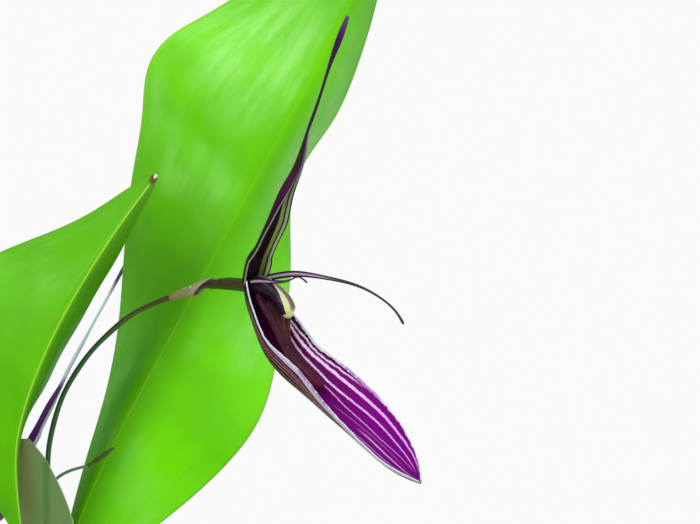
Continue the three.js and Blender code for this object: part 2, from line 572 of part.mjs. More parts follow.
addPiece('pot', potGeometry(), MATERIALS.terracotta);
addPiece('moss', mossGeometry(), MATERIALS.moss);
addPiece('rhizome', rhizomeTube(rhizomePath, RHIZOME_RADIUS), MATERIALS.rhizome);
rootPaths.forEach((path, i) => addPiece(`root_${i + 1}`, rootTube(path, ROOT_RADIUS), MATERIALS.root));
SHOOTS.forEach((shoot, i) => addShoot(shoot, i + 1));
addFlower(OPEN_FLOWER, 1);
addStalk(OPEN_FLOWER_STALK, 1);
addFlower(REAR_FLOWER, 2);
addStalk(REAR_FLOWER_STALK, 2);
addPiece('spathe', channel({ ...SPATHE, opening: 1 }, new THREE.Vector3(1, 0, 0), 8, SHEATH_THICKNESS),
  MATERIALS.sheath);
addPiece('spent_peduncle', tube(SPENT_STALK, [0.2, PEDUNCLE_RADIUS], 12, 6), MATERIALS.peduncle);
addPiece('spent_flower', tube(SPENT_FLOWER_LINE, [0.25, 0.35, 0.25], 4, 6), MATERIALS.withered);
addPiece('bud_peduncle', tube(BUD_STALK, [PEDUNCLE_RADIUS, PEDUNCLE_RADIUS], 10, 6), MATERIALS.peduncle);
addPiece('bud', tube(BUD_LINE, [0.5, 1.5, 1.4, 0.3], 8, 8), MATERIALS.sepal);

export default group;
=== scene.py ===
import math

import bpy
import numpy as np
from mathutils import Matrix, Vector


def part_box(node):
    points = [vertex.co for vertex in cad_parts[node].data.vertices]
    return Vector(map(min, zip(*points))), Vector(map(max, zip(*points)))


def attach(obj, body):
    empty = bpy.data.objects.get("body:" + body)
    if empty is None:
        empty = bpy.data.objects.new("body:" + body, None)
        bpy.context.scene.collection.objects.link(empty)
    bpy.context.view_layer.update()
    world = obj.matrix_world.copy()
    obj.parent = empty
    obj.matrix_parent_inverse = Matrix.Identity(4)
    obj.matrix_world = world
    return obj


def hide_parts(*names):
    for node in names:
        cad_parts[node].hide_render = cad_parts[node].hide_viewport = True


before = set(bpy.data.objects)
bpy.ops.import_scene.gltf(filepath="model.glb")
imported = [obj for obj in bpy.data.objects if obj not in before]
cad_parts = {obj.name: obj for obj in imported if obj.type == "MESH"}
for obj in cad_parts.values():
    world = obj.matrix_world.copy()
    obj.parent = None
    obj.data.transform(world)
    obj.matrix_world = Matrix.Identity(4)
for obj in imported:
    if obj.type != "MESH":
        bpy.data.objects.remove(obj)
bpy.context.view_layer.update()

bl_info = {
    "name": "Potted Restrepia",
    "version": (1, 0, 0),
    "blender": (4, 5, 0),
    "location": "3D View > Sidebar > Restrepia",
    "description": "Builds a potted Restrepia orchid round its packed CAD frame",
    "category": "Add Mesh",
}

# Shapes are worked out in millimetres, with +Z up and +Y away from the viewer, and Blender works in metres
MM = 0.001
PER_MM = 1 / MM
ALONG_X, ALONG_Y, UPWARDS = np.eye(3)


def highest_corner(node):
    """The highest corner of a CAD node's box, in millimetres."""
    return np.array(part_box(node)[1]) * PER_MM


# The pot's outside comes from the frame, and its wall, rim and drains repeat the CAD's driving dimensions
POT_RIM_RADIUS, _, POT_HEIGHT = highest_corner("pot")
POT_BASE_RADIUS = 24
POT_RIM_HEIGHT = 14
POT_RIM_STEP = 2.2
POT_RIM_TAPER = 1
POT_WALL = 3.2
POT_FLOOR = 4
DRAIN_RADIUS = 3.6
DRAIN_RING = 13
DRAIN_COUNT = 3
DRAIN_COLUMNS = 40
MOSS_EDGE_HEIGHT = 55
MOSS_MOUND = 4.5
MOSS_RIPPLE = 0.5

# Driving dimensions of the plant
RHIZOME_RADIUS = 1.7
RHIZOME_LIFT = 0.3
RHIZOME_JOINTS = 15
ROOT_RADIUS = 0.9
STEM_RADIUS = 0.85
STEM_STRAIGHT_TOP = 10
STEM_OVERLAP = 0.6
OVARY_LENGTH = 5.8
OVARY_OVERLAP = 0.4
OVARY_RADII = [0.62, 0.62, 0.6, 0.5, 0.34]
OVARY_RIBS = (6, 0.06)
BRACT_LENGTH = 5.2
BRACT_OVERLAP = 0.6

# The creeping stem, as plan positions from its old end to its growing end
RHIZOME_PLAN = [[-24, -9], [-17, -4], [-9, 2], [-1, 6], [8, 7], [16, 3], [23, -4]]

# A plain leaf at even stations from its base to its tip: shares of its greatest half width, fold angles in
# degrees, how clearly its keel shows and how bright its green is
PLAIN_HALF_WIDTHS = [0.05, 0.2, 0.62, 0.85, 0.96, 1, 0.98, 0.9, 0.72, 0.42, 0.03]
PLAIN_BENDS = [70, 55, 38, 30, 27, 25, 25, 26, 28, 32, 34]
PLAIN_KEEL_SHOWN = [0.7, 0.6, 0.5, 0.4, 0.3]
PLAIN_TONES = [0.8, 0.85, 0.9, 0.9]

# The two leaves beside the open flower, each with its keel towards the viewer, its half widths in
# millimetres, and its tones with painted light and shade: a brightness for each half, which changes from
# left to right between two distances from the keel
FLOWERING_LEAF = {
    "line": [[-1.5, 12, 104.5], [4.1, 12, 118], [10.3, 12, 130.2], [16.5, 12, 141.6], [23.3, 12, 154.3],
             [29.1, 12, 165.2], [34.3, 12, 176.4]],
    "left_half_widths": [0.5, 2.8, 5.6, 8.4, 10.8, 12.5, 13.7, 14.3, 14.7, 15, 15.5, 16, 16.1, 16.1, 14.9,
                         13.1, 12.2, 10.7, 8.3, 4.8, 0.3],
    "right_half_widths": [0.5, 5.8, 10.6, 13.2, 14.4, 14.8, 16.1, 15.6, 12.9, 7.6, 0.3],
    "left_bends": [89, 81, 78, 72, 59, 44, 28, 6, 27, 41, 50],
    "right_bends": [20, 11, 17, 24, 43, 59, 80, 79, 78, 77, 76],
    "facing": [0, -1, 0],
    "keel_round": 0.06,
    "keel_shown": [0.4, 0.35, 0.3, 0.2, 0.15, 0.1, 0.1],
    # Painted light and shade: a factor below 1 darkens a half where it turns from the light, and one above 1
    # brightens it where it is lit
    "left_tones": [0.5, 0.6, 0.74, 0.78, 0.6, 0.66, 1.0, 1.06, 0.96, 0.84, 0.8],
    "right_tones": [1.38, 1.38, 1.38, 1.34, 1.26, 1.12, 0.88, 0.84, 0.86, 0.88, 0.88],
    "painted_light_change": [-2, 4.5],
}
SHORT_LEAF = {
    "line": [[-2.6, 0, 111.4], [-3.4, 0, 118.2], [-3, 0, 123.7], [-0.8, 0, 130.2], [2.5, 0, 136.7],
             [6.5, 0, 143], [10.7, 0, 148.7]],
    "left_half_widths": [0.5, 2.4, 5.7, 9.2, 11.6, 12.8, 13.1, 12.7, 11.2, 8.9, 6.3, 3.5, 0.4],
    "right_half_widths": [0.5, 2.4, 5.1, 7.6, 9.9, 12, 12.8, 12.3, 10.8, 8.7, 6.1, 3.5, 0.4],
    "left_bends": [40, 36, 30, 22, 18, 22, 28, 42, 55, 58, 50],
    "right_bends": [113, 114, 114, 111, 95, 91, 88, 86, 83, 81, 72],
    "facing": [0, -1, 0],
    "keel_round": 0.04,
    "keel_shown": [0.9, 0.9, 0.9, 0.9, 0.9, 0.9, 0.9],
    # Painted shade: the right half is darkened where it turns from the light
    "left_tones": [0.76, 0.82, 0.82, 0.8, 0.72, 0.7],
    "right_tones": [0.46, 0.46, 0.44, 0.46, 0.5, 0.6],
    "painted_light_change": [-0.2, 0.6],
}

# Each shoot: its place on the rhizome (0 to 1), where its stem ends and its leaf begins, and the leaf.
# A plain leaf leans from the vertical by the first angle at its base and by the second at its tip.
SHOOTS = [
    {"foot": 0.46, "apex": [-1.5, 12, 104.5], "leaf": FLOWERING_LEAF},
    {"foot": 0.34, "apex": [-2.6, 0, 111.4], "leaf": SHORT_LEAF},
    {"foot": 0.05, "apex": [-27, -6, 98], "azimuth": 184, "leans": [15, 48], "length": 60, "half_width": 13},
    {"foot": 0.17, "apex": [-21, 7, 102], "azimuth": 150, "leans": [6, 32], "length": 64, "half_width": 13.5},
    {"foot": 0.64, "apex": [8, 19, 84], "azimuth": 66, "leans": [42, 74], "length": 45, "half_width": 12},
    {"foot": 0.75, "apex": [16, 9, 84], "azimuth": 8, "leans": [35, 75], "length": 46, "half_width": 12},
    {"foot": 0.87, "apex": [23, -7, 84], "azimuth": -42, "leans": [30, 68], "length": 46, "half_width": 11.5},
    {"foot": 0.97, "apex": [26, 1, 75], "azimuth": 24, "leans": [22, 52], "length": 32, "half_width": 8.5},
    {"foot": 0.25, "apex": [-11, -12, 91], "azimuth": 254, "leans": [24, 60], "length": 52, "half_width": 12},
]

# Outlines of one flower in its own frame: +X the way it faces, +Y its left side and +Z up. Each has a line,
# half widths and depths at even stations, and channel_skin tells what its other values do.
SYNSEPAL = {
    "line": [[-1.3, 0, 0.35], [-0.77, 0, -1.84], [0.42, 0, -4.21], [1.78, 0, -6.65], [3.9, 0, -8.78],
             [7.22, 0, -10.79], [10.77, 0, -12.86], [14.55, 0, -15.02], [18.81, 0, -17.68],
             [21.86, 0, -18.78]],
    "half_widths": [1.56, 2.19, 2.75, 2.95, 2.81, 3.26, 3.77, 3.74, 2.41, 0.17],
    "depths": [1.58, 2.25, 2.89, 3.52, 3.71, 3.63, 3.18, 2.44, 1.34, 0.21],
    "right_shares": [1, 0.97, 0.91, 0.83, 0.81, 0.86, 0.88, 0.82, 0.78, 0.76, 0.9],
    "opening": 1,
    "edge": 0.1,
    "power": 1.88,
    "ragged": 0.015,
    "seed": 51,
    "inner_share": 1.0,
    "rows": 190,
    "columns": 65,
}
DORSAL_SEPAL = {
    "line": [[-1.2, 0, 0.55], [-0.41, 0, 2.93], [0.49, 0, 4], [1.37, 0, 5.42], [2.13, 0, 6.81],
             [2.85, 0, 8.32], [3.8, 0, 9.99], [5.15, 0, 11.66], [6.3, 0, 13.7], [7.39, 0, 15.83],
             [8.79, 0, 18.69], [10.1, 0, 21.7], [11.39, 0, 24.3], [12.51, 0, 26.5]],
    "half_widths": [1.56, 1.72, 1.38, 1.3, 1.23, 0.88, 0.5, 0.26, 0.2, 0.16, 0.14, 0.15, 0.31, 0.16],
    "depths": [1.29, 1.29, 1.06, 1.09, 1.27, 1.34, 1.33, 1.02, 0.65, 0.1, 0.05, 0.05, 0.05, 0.02],
    "swelling": [1, 1, 1, 0.9, 0.8, 0.7, 0.5, 0.5, 0.5, 0.7, 0.7, 0.9, 1.4, 0.8],
    "opening": -1,
    "edge": 0.1,
    "rows": 210,
    "columns": 45,
}
HOOD_FOLD = 0.17
SYNSEPAL_THINNER = 0.8
LIP = {
    "line": [[1, 0, -0.9], [2, 0, -2.2], [3.05, 0, -3.8], [4, 0, -5.6], [5.5, 0, -7.35], [7.3, 0, -8.75],
             [8.9, 0, -9.9]],
    "half_widths": [1, 1.9, 1.35, 0.85, 0.95, 0.95, 0.45],
    "depths": [0.3, 0.9, 0.6, 0.35, 0.3, 0.25, 0.1],
    "opening": 1,
    "edge": 0.3,
    "ragged": 0.04,
    "seed": 52,
    "rows": 110,
    "columns": 45,
}
# Distance out from the flower's middle and height, for each petal thread, with its half thickness and half
# height at even stations along it
DROOPING_PETAL = {
    "steps": [[0, 0.9], [2, 1.25], [4, 1.25], [7, 0.75], [10, -0.15], [12.7, -1.9], [14, -3.7]],
    "hand": 1,
    "spread": 30,
    "widths": [0.12, 0.16, 0.15, 0.13, 0.12, 0.12, 0.15],
    "heights": [0.34, 0.33, 0.24, 0.17, 0.13, 0.11, 0.15],
}
LEVEL_PETAL = {
    "steps": [[0, 0.5], [2, 0.6], [5, 0.55], [8, 0.65], [9.8, 1], [11, 0.95], [12.3, 0.5]],
    "hand": -1,
    "spread": 20,
    "widths": [0.12, 0.14, 0.12, 0.1, 0.09, 0.08, 0.1],
    "heights": [0.24, 0.26, 0.22, 0.16, 0.1, 0.08, 0.1],
}
PETAL_ROOT = [0.5, 1.15]
PETAL_END = 0.25
COLUMN = {
    "line": [[-0.4, 0, 0.1], [1, 0, 0.05], [2.3, 0, -0.35], [3.3, 0, -0.95], [4.2, 0, -1.9], [4.6, 0, -2.9]],
    "radii": [0.95, 1.1, 0.95, 0.88, 0.95, 0.8],
    "dome": 0.9,
}
ANTHER = {
    "points": [[4.3, 0, -2.35], [4.56, 0, -2.75], [4.72, 0, -3.05]],
    "radius": 0.55,
    "rows": 30,
    "columns": 28,
}

# Where each flower's middle sits, the way it faces and the way its top points, and how far open its dorsal
# sepal's hood is
FLOWER_AZIMUTH = math.radians(-42)
OPEN_FLOWER = {
    "middle": [20.5, 0, 137.5],
    "forward": [math.cos(FLOWER_AZIMUTH), math.sin(FLOWER_AZIMUTH), 0],
    "top": [0, 0, 1],
    "hood": 1,
}
REAR_FLOWER = {
    "middle": [-4.55, 16.2, 119.4],
    "forward": [-0.308, 0.949, -0.074],
    "top": [0.526, 0.234, 0.818],
    "hood": 0.3,
}

# The stalk of each flower, from behind the flower down to the leaf base that it grows from
OPEN_FLOWER_STALK = [
    [20.17, 0.3, 137.55], [18, 2.25, 137.8], [15.75, 4.25, 137.65], [13.2, 6.1, 136.9], [10.3, 7.7, 135.9],
    [7.5, 8.4, 134.5], [5.2, 8.7, 132.6], [3.2, 8.7, 130.5], [1.2, 8.6, 127.5], [0, 8.6, 124.7],
    [-0.75, 8.7, 121.7], [-1, 8.8, 118.7], [-1, 9, 113.1], [-0.75, 10.1, 107.5], [-0.7, 10.85, 103.5],
]
REAR_FLOWER_STALK = [
    [-4.41, 15.77, 119.45], [-4.05, 14.5, 119.2], [-3.7, 13.6, 117.9], [-3.4, 13, 115.6],
    [-3.1, 12.4, 112.5], [-2.85, 11.7, 109], [-2.8, 11.1, 106], [-2.75, 10.8, 103.5],
]
SPENT_STALK = [
    [3.05, 9.9, 119.05], [0.9, 9.9, 118.4], [-0.9, 10.1, 116.9], [-2, 10, 113.6], [-1.9, 9.9, 109],
    [-1.75, 10.3, 106], [-1.8, 10.3, 103.5],
]
SPENT_STALK_SHARE = 0.6
SPENT_FLOWER = {
    "points": [[3.0, 9.9, 119.03], [4.2, 9.9, 119.8], [5.7, 10.1, 120.9]],
    "radius": [0.17, 0.21, 0.23, 0.14],
    "rows": 70,
    "columns": 28,
    "relief": 0.22,
    "relief_size": 1,
    "seed": 96,
}
BUD_STALK = [
    [-36.5, 15.3, 113], [-33, 14.2, 112.6], [-28.6, 12.1, 109.6], [-25, 9.8, 105.5], [-23, 8.2, 102.5],
    [-22.4, 7.8, 100.5],
]
BUD = {
    "points": [[-36.4, 15.3, 113], [-39.6, 16, 112.6], [-42, 16.6, 111.3], [-43.6, 17, 109.4]],
    "radius": [0.6, 1.35, 1.55, 1.2, 0.4],
    "rows": 90,
    "columns": 40,
    "relief": 0.03,
    "relief_size": 3,
    "seed": 98,
}

# The papery bract round the stalks at the base of the flowering leaf
SPATHE = {
    "line": [[-1.8, 9.2, 104], [-1.4, 8.2, 108.5], [-1.6, 7.3, 113.3], [-2.4, 6.7, 117.5], [-2.95, 6.5, 120],
             [-3.2, 6.5, 122]],
    "half_widths": [2.4, 2.9, 3.1, 2.45, 1.75, 0.5],
    "depths": [2.3, 2.3, 2.1, 1.4, 0.8, 0.2],
    "opening": 1,
    "edge": 0.08,
    "ragged": 0.02,
    "seed": 62,
    "rows": 90,
    "columns": 41,
}
SPATHE_THICKNESS = 0.28

# Papery sleeves: inside radius, how far the mouth flares and slants, its width on the flatter axis, and the
# paper's thickness
SHEATH = {"radius": STEM_RADIUS + 0.12, "flare": 0.62, "slant": 0.34, "flat": 1.28, "paper": 0.12}
FLORAL_BRACT = {"radius": 0.33, "flare": 0.22, "slant": 0.5, "flat": 1.15, "paper": 0.08}
SHEATH_FROM, SHEATH_TO = 0.03, 0.84
SHEATH_OVERLAP = 1.45
SLEEVE_ROWS = 16
SLEEVE_COLUMNS = 26

# Rows along and columns round each kind of rod
ROD_GRIDS = {
    "rhizome": (240, 28),
    "root": (110, 20),
    "stem": (90, 20),
    "stalk": (170, 16),
    "petal": (120, 16),
    "column": (80, 40),
    "ovary": (90, 48),
}

# Roots: plan positions and heights above the moss, from the rhizome outwards
ROOTS = [
    [[-10.5, -1.9, 0.3], [-9, -7, 1.5], [-5, -13, 0.9], [-1, -19, 0.2], [2, -24, -2.5]],
    [[3, 9.4, 0.3], [3.5, 14, 1.6], [0, 20, 1.2], [-6, 24, 0.4], [-10, 26, -2.5]],
    [[-20, -3.2, 0.3], [-23, 3, 1.6], [-23, 10, 0.8], [-19, 16, 0.2], [-15, 19, -2.5]],
]
# One root goes over the rim: distance from the pot's axis and height
RIM_ROOT_AZIMUTH = math.radians(-17)
RIM_ROOT = [[26.4, 58.3], [29.5, 59.4], [33, 60.1], [36, 59.9], [37.6, 58.4], [37.8, 54.5], [37.7, 49.5]]


# Curves

RIPPLE_WAVES = 9


def unit(vectors):
    """Vectors divided by their own length."""
    return vectors / np.maximum(np.linalg.norm(vectors, axis=-1, keepdims=True), 1e-9)


def smooth(stations, shares):
    """Values on a natural cubic spline through evenly spaced stations, at shares from 0 to 1.

    Between two stations it is the straight line, plus (w cubed - w) / 6 times the far station's bend and
    the same from the other side for the near station's bend. The bends make the slopes agree.
    """
    stations = np.asarray(stations, float)
    last = len(stations) - 1
    rows = np.arange(1, last)
    matrix = np.eye(last + 1)
    matrix[rows, rows] = 4
    matrix[rows, rows - 1] = 1
    matrix[rows, rows + 1] = 1
    turns = np.zeros_like(stations)
    turns[1:-1] = 6 * (stations[2:] - 2 * stations[1:-1] + stations[:-2])
    bends = np.linalg.solve(matrix, turns)
    place = np.clip(shares, 0, 1) * last
    low = np.minimum(place.astype(int), last - 1)
    far = place - low
    if stations.ndim > 1:
        far = far[..., None]
    near = 1 - far
    straight = near * stations[low] + far * stations[low + 1]
    return straight + ((near**3 - near) * bends[low] + (far**3 - far) * bends[low + 1]) / 6


def even_path(points, shares):
    """Points on the spline through a list, at shares of its length from 0 to 1."""
    fine = np.linspace(0, 1, 400)
    line = smooth(points, fine)
    run = np.concatenate([[0], np.cumsum(np.linalg.norm(np.diff(line, axis=0), axis=1))])
    return smooth(points, np.interp(np.asarray(shares) * run[-1], run, fine))


def length_of(points):
    """The length of the spline through a list of points."""
    return np.linalg.norm(np.diff(smooth(points, np.linspace(0, 1, 400)), axis=0), axis=1).sum()


def eased(count):
    """Shares from 0 to 1 that crowd towards both ends: half of one minus the cosine of an even turn."""
    return (1 - np.cos(np.linspace(0, np.pi, count))) / 2


def plane_normal(points):
    """The direction in which a list of points spreads least, which no tangent of a flat path comes near."""
    points = np.asarray(points, float)
    return np.linalg.svd(points - points.mean(axis=0))[2][-1]


def ripples(points, size, seed):
    """Soft seeded unevenness, mostly within -1 and 1.

    It is a sum of sine waves of about the given length that cross the points in random directions,
    divided by the root of their number.
    """
    draw = np.random.default_rng(seed)
    directions = unit(draw.normal(size=(RIPPLE_WAVES, 3)))
    lengths = size * draw.uniform(0.6, 1.6, (RIPPLE_WAVES, 1))
    phases = draw.uniform(0, 2 * np.pi, RIPPLE_WAVES)
    waves = np.sin(points @ (2 * np.pi * directions / lengths).T + phases)
    return waves.sum(axis=-1) / math.sqrt(RIPPLE_WAVES)


def between(value, low, high):
    """A soft step: 0 below low, 1 above high, and three squares minus two cubes between."""
    share = np.clip((value - low) / (high - low), 0, 1)
    return share * share * (3 - 2 * share)


# Closed skins

class Skin:
    """Points, four-sided and three-sided faces with their UV corners, and named values at the points."""

    def __init__(self, points, quads, quad_uv, triangles, triangle_uv, values):
        self.points = points
        self.quads = quads
        self.quad_uv = quad_uv
        self.triangles = triangles
        self.triangle_uv = triangle_uv
        self.values = values

    def placed(self, flower):
        """The skin of a flower's part, turned and moved from the flower's own frame to its place."""
        x = unit(np.array(flower["forward"], float))
        y = unit(np.cross(flower["top"], x))
        self.points = self.points @ np.array([x, y, np.cross(x, y)]) + flower["middle"]
        return self


def joined(skins):
    """Several skins as one: faces of each count on from the points of those before it."""
    starts = np.cumsum([0] + [len(skin.points) for skin in skins[:-1]])
    return Skin(
        np.concatenate([skin.points for skin in skins]),
        np.concatenate([skin.quads + start for skin, start in zip(skins, starts)]),
        np.concatenate([skin.quad_uv for skin in skins]),
        np.concatenate([skin.triangles + start for skin, start in zip(skins, starts)]),
        np.concatenate([skin.triangle_uv for skin in skins]),
        {name: np.concatenate([skin.values[name] for skin in skins]) for name in skins[0].values},
    )


def fan_uv(corners, place):
    """The UV of a fan's triangles: each corner's share round the piece, all at one place along it."""
    around = np.stack(corners, axis=-1)
    return np.stack([around, np.full_like(around, place)], axis=-1)


def loft(rings, around=None, along=None, wrapped=False, **values):
    """A closed skin over rings of points, for one body or a batch of like ones.

    rings is (rows, columns, 3), or (bodies, rows, columns, 3), and each ring turns anticlockwise seen from
    the last one. Each ring joins the next. A wrapped skin joins the last ring to the first, and any
    other is closed by a fan at each end. around has one more entry than there are columns.
    """
    rings = rings if rings.ndim == 4 else rings[None]
    bodies, rows, columns = rings.shape[:3]
    around = np.linspace(0, 1, columns + 1) if around is None else around
    along = np.linspace(0, 1, rows) if along is None else along
    row, column = np.meshgrid(np.arange(rows if wrapped else rows - 1), np.arange(columns), indexing="ij")
    next_row = (row + 1) % rows
    next_column = (column + 1) % columns
    quads = np.stack([
        row * columns + column, row * columns + next_column,
        next_row * columns + next_column, next_row * columns + column,
    ], axis=-1).reshape(-1, 4)
    corners = ((column, row), (column + 1, row), (column + 1, next_row), (column, next_row))
    quad_uv = [np.stack([around[side], along[place]], axis=-1) for side, place in corners]
    quad_uv = np.stack(quad_uv, axis=-2).reshape(-1, 4, 2)
    points = rings.reshape(bodies, -1, 3)
    values = {name: np.broadcast_to(value, rings.shape[:3]) for name, value in values.items()}
    values = {name: value.reshape(bodies, -1) for name, value in values.items()}
    triangles = np.zeros((0, 3), int)
    triangle_uv = np.zeros((0, 3, 2))
    if not wrapped:
        hub = rows * columns
        points = np.concatenate([points, rings[:, [0, -1]].mean(axis=2)], axis=1)
        for name, value in values.items():
            ends = np.stack([value[:, :columns].mean(axis=1), value[:, -columns:].mean(axis=1)], axis=1)
            values[name] = np.concatenate([value, ends], axis=1)
        step = np.arange(columns)
        turn = (step + 1) % columns
        middle = (around[:-1] + around[1:]) / 2
        first = np.stack([np.full(columns, hub), turn, step], axis=-1)
        last = np.stack([np.full(columns, hub + 1), hub - columns + step, hub - columns + turn], axis=-1)
        triangles = np.concatenate([first, last])
        triangle_uv = np.concatenate([
            fan_uv([middle, around[1:], around[:-1]], along[0]),
            fan_uv([middle, around[:-1], around[1:]], along[-1]),
        ])
    size = points.shape[1]
    offsets = (np.arange(bodies) * size)[:, None, None]
    return Skin(
        points.reshape(-1, 3),
        (quads + offsets).reshape(-1, 4),
        np.tile(quad_uv, (bodies, 1, 1)),
        (triangles + offsets).reshape(-1, 3),
        np.tile(triangle_uv, (bodies, 1, 1)),
        {name: value.reshape(-1) for name, value in values.items()},
    )


def sheet(middle, thickness, across, along, upper_in_front, inner_share=0.5, **values):
    """A thin body on both sides of a grid of points, with UV across and along it.

    The back lies the inner share of the thickness behind the grid, against its normal, which is crosswise
    times lengthwise, and the front lies the rest in front. A ring runs over the front and returns over
    the back. The value named upper is 1 on the side that lay inside the bud, and 0 on the other.
    """
    lengthwise = np.gradient(middle, axis=0)
    crosswise = np.gradient(middle, axis=1)
    shift = unit(np.cross(crosswise, lengthwise)) * thickness[..., None]
    rings = np.concatenate([
        middle + shift * (1 - inner_share), (middle - shift * inner_share)[:, ::-1]], axis=1)
    share = (across + 1) / 2
    around = np.concatenate([share, share[::-1], share[:1]])
    front = np.full(len(across), 1.0 if upper_in_front else 0.0)
    upper = np.concatenate([front, 1 - front])
    both = {name: np.concatenate([value, value[:, ::-1]], axis=1) for name, value in values.items()}
    return loft(rings, around, along, upper=upper, **both)


def tube(line, widths, heights, columns, reference, along=None, ribs=(0, 0.0), **values):
    """Rings round a line: its point, plus width times cosine sideways, plus height times sine upwards.

    Sideways is the line's direction times the reference. A batch of lines has one more axis in front.
    Ribs are a number of shallow waves round each ring, and their share of its radius.
    """
    angles = np.arange(columns) * 2 * np.pi / columns
    ribbed = 1 + ribs[1] * np.cos(ribs[0] * angles)
    direction = unit(np.gradient(line, axis=-2))
    side = unit(np.cross(direction, reference))
    up = np.cross(direction, side)
    rings = line[..., None, :] + (
        (widths[..., None] * ribbed * np.cos(angles))[..., None] * side[..., None, :]
        + (heights[..., None] * ribbed * np.sin(angles))[..., None] * up[..., None, :]
    )
    return loft(rings, None, along, **values)


def domed(shares, length, radius):
    """How far a rounded end narrows a rod: the root of 1 - (1 - distance / radius) squared near each end."""
    reach = np.minimum(shares, 1 - shares) * length / radius
    return np.sqrt(np.clip(1 - (1 - np.minimum(reach, 1)) ** 2, 0.0025, 1))


def rod(points, radius, rows, columns, start=0, relief=0.0, relief_size=3, seed=1):
    """A round rod with domed ends along a path, uneven by relief, which is a share of its radius."""
    length = length_of(points)
    shares = start + (1 - start) * eased(rows)
    line = even_path(points, shares)
    radii = smooth(radius, shares) if np.ndim(radius) else np.full(rows, float(radius))
    radii = radii * domed((shares - start) / (1 - start), length * (1 - start), radii)
    radii = radii * (1 + relief * ripples(line, relief_size, seed))
    return tube(line, radii, radii, columns, plane_normal(points), along=shares)


# Finishes

NOISE_ROUGHNESS = 0.55


def linear(red, green, blue):
    """A colour as it looks on a screen, from 0 to 255, in the linear light that Blender mixes."""
    screen = np.array([red, green, blue]) / 255
    light = np.where(screen <= 0.04045, screen / 12.92, ((screen + 0.055) / 1.055) ** 2.4)
    return (*[float(value) for value in light], 1.0)


def grey(value):
    """A neutral colour of one linear brightness."""
    return (value, value, value, 1.0)


def light_of(colour):
    """A colour for a node: three screen values turn into linear light, and anything else stays as it is."""
    return linear(*colour) if isinstance(colour, tuple) and len(colour) == 3 else colour


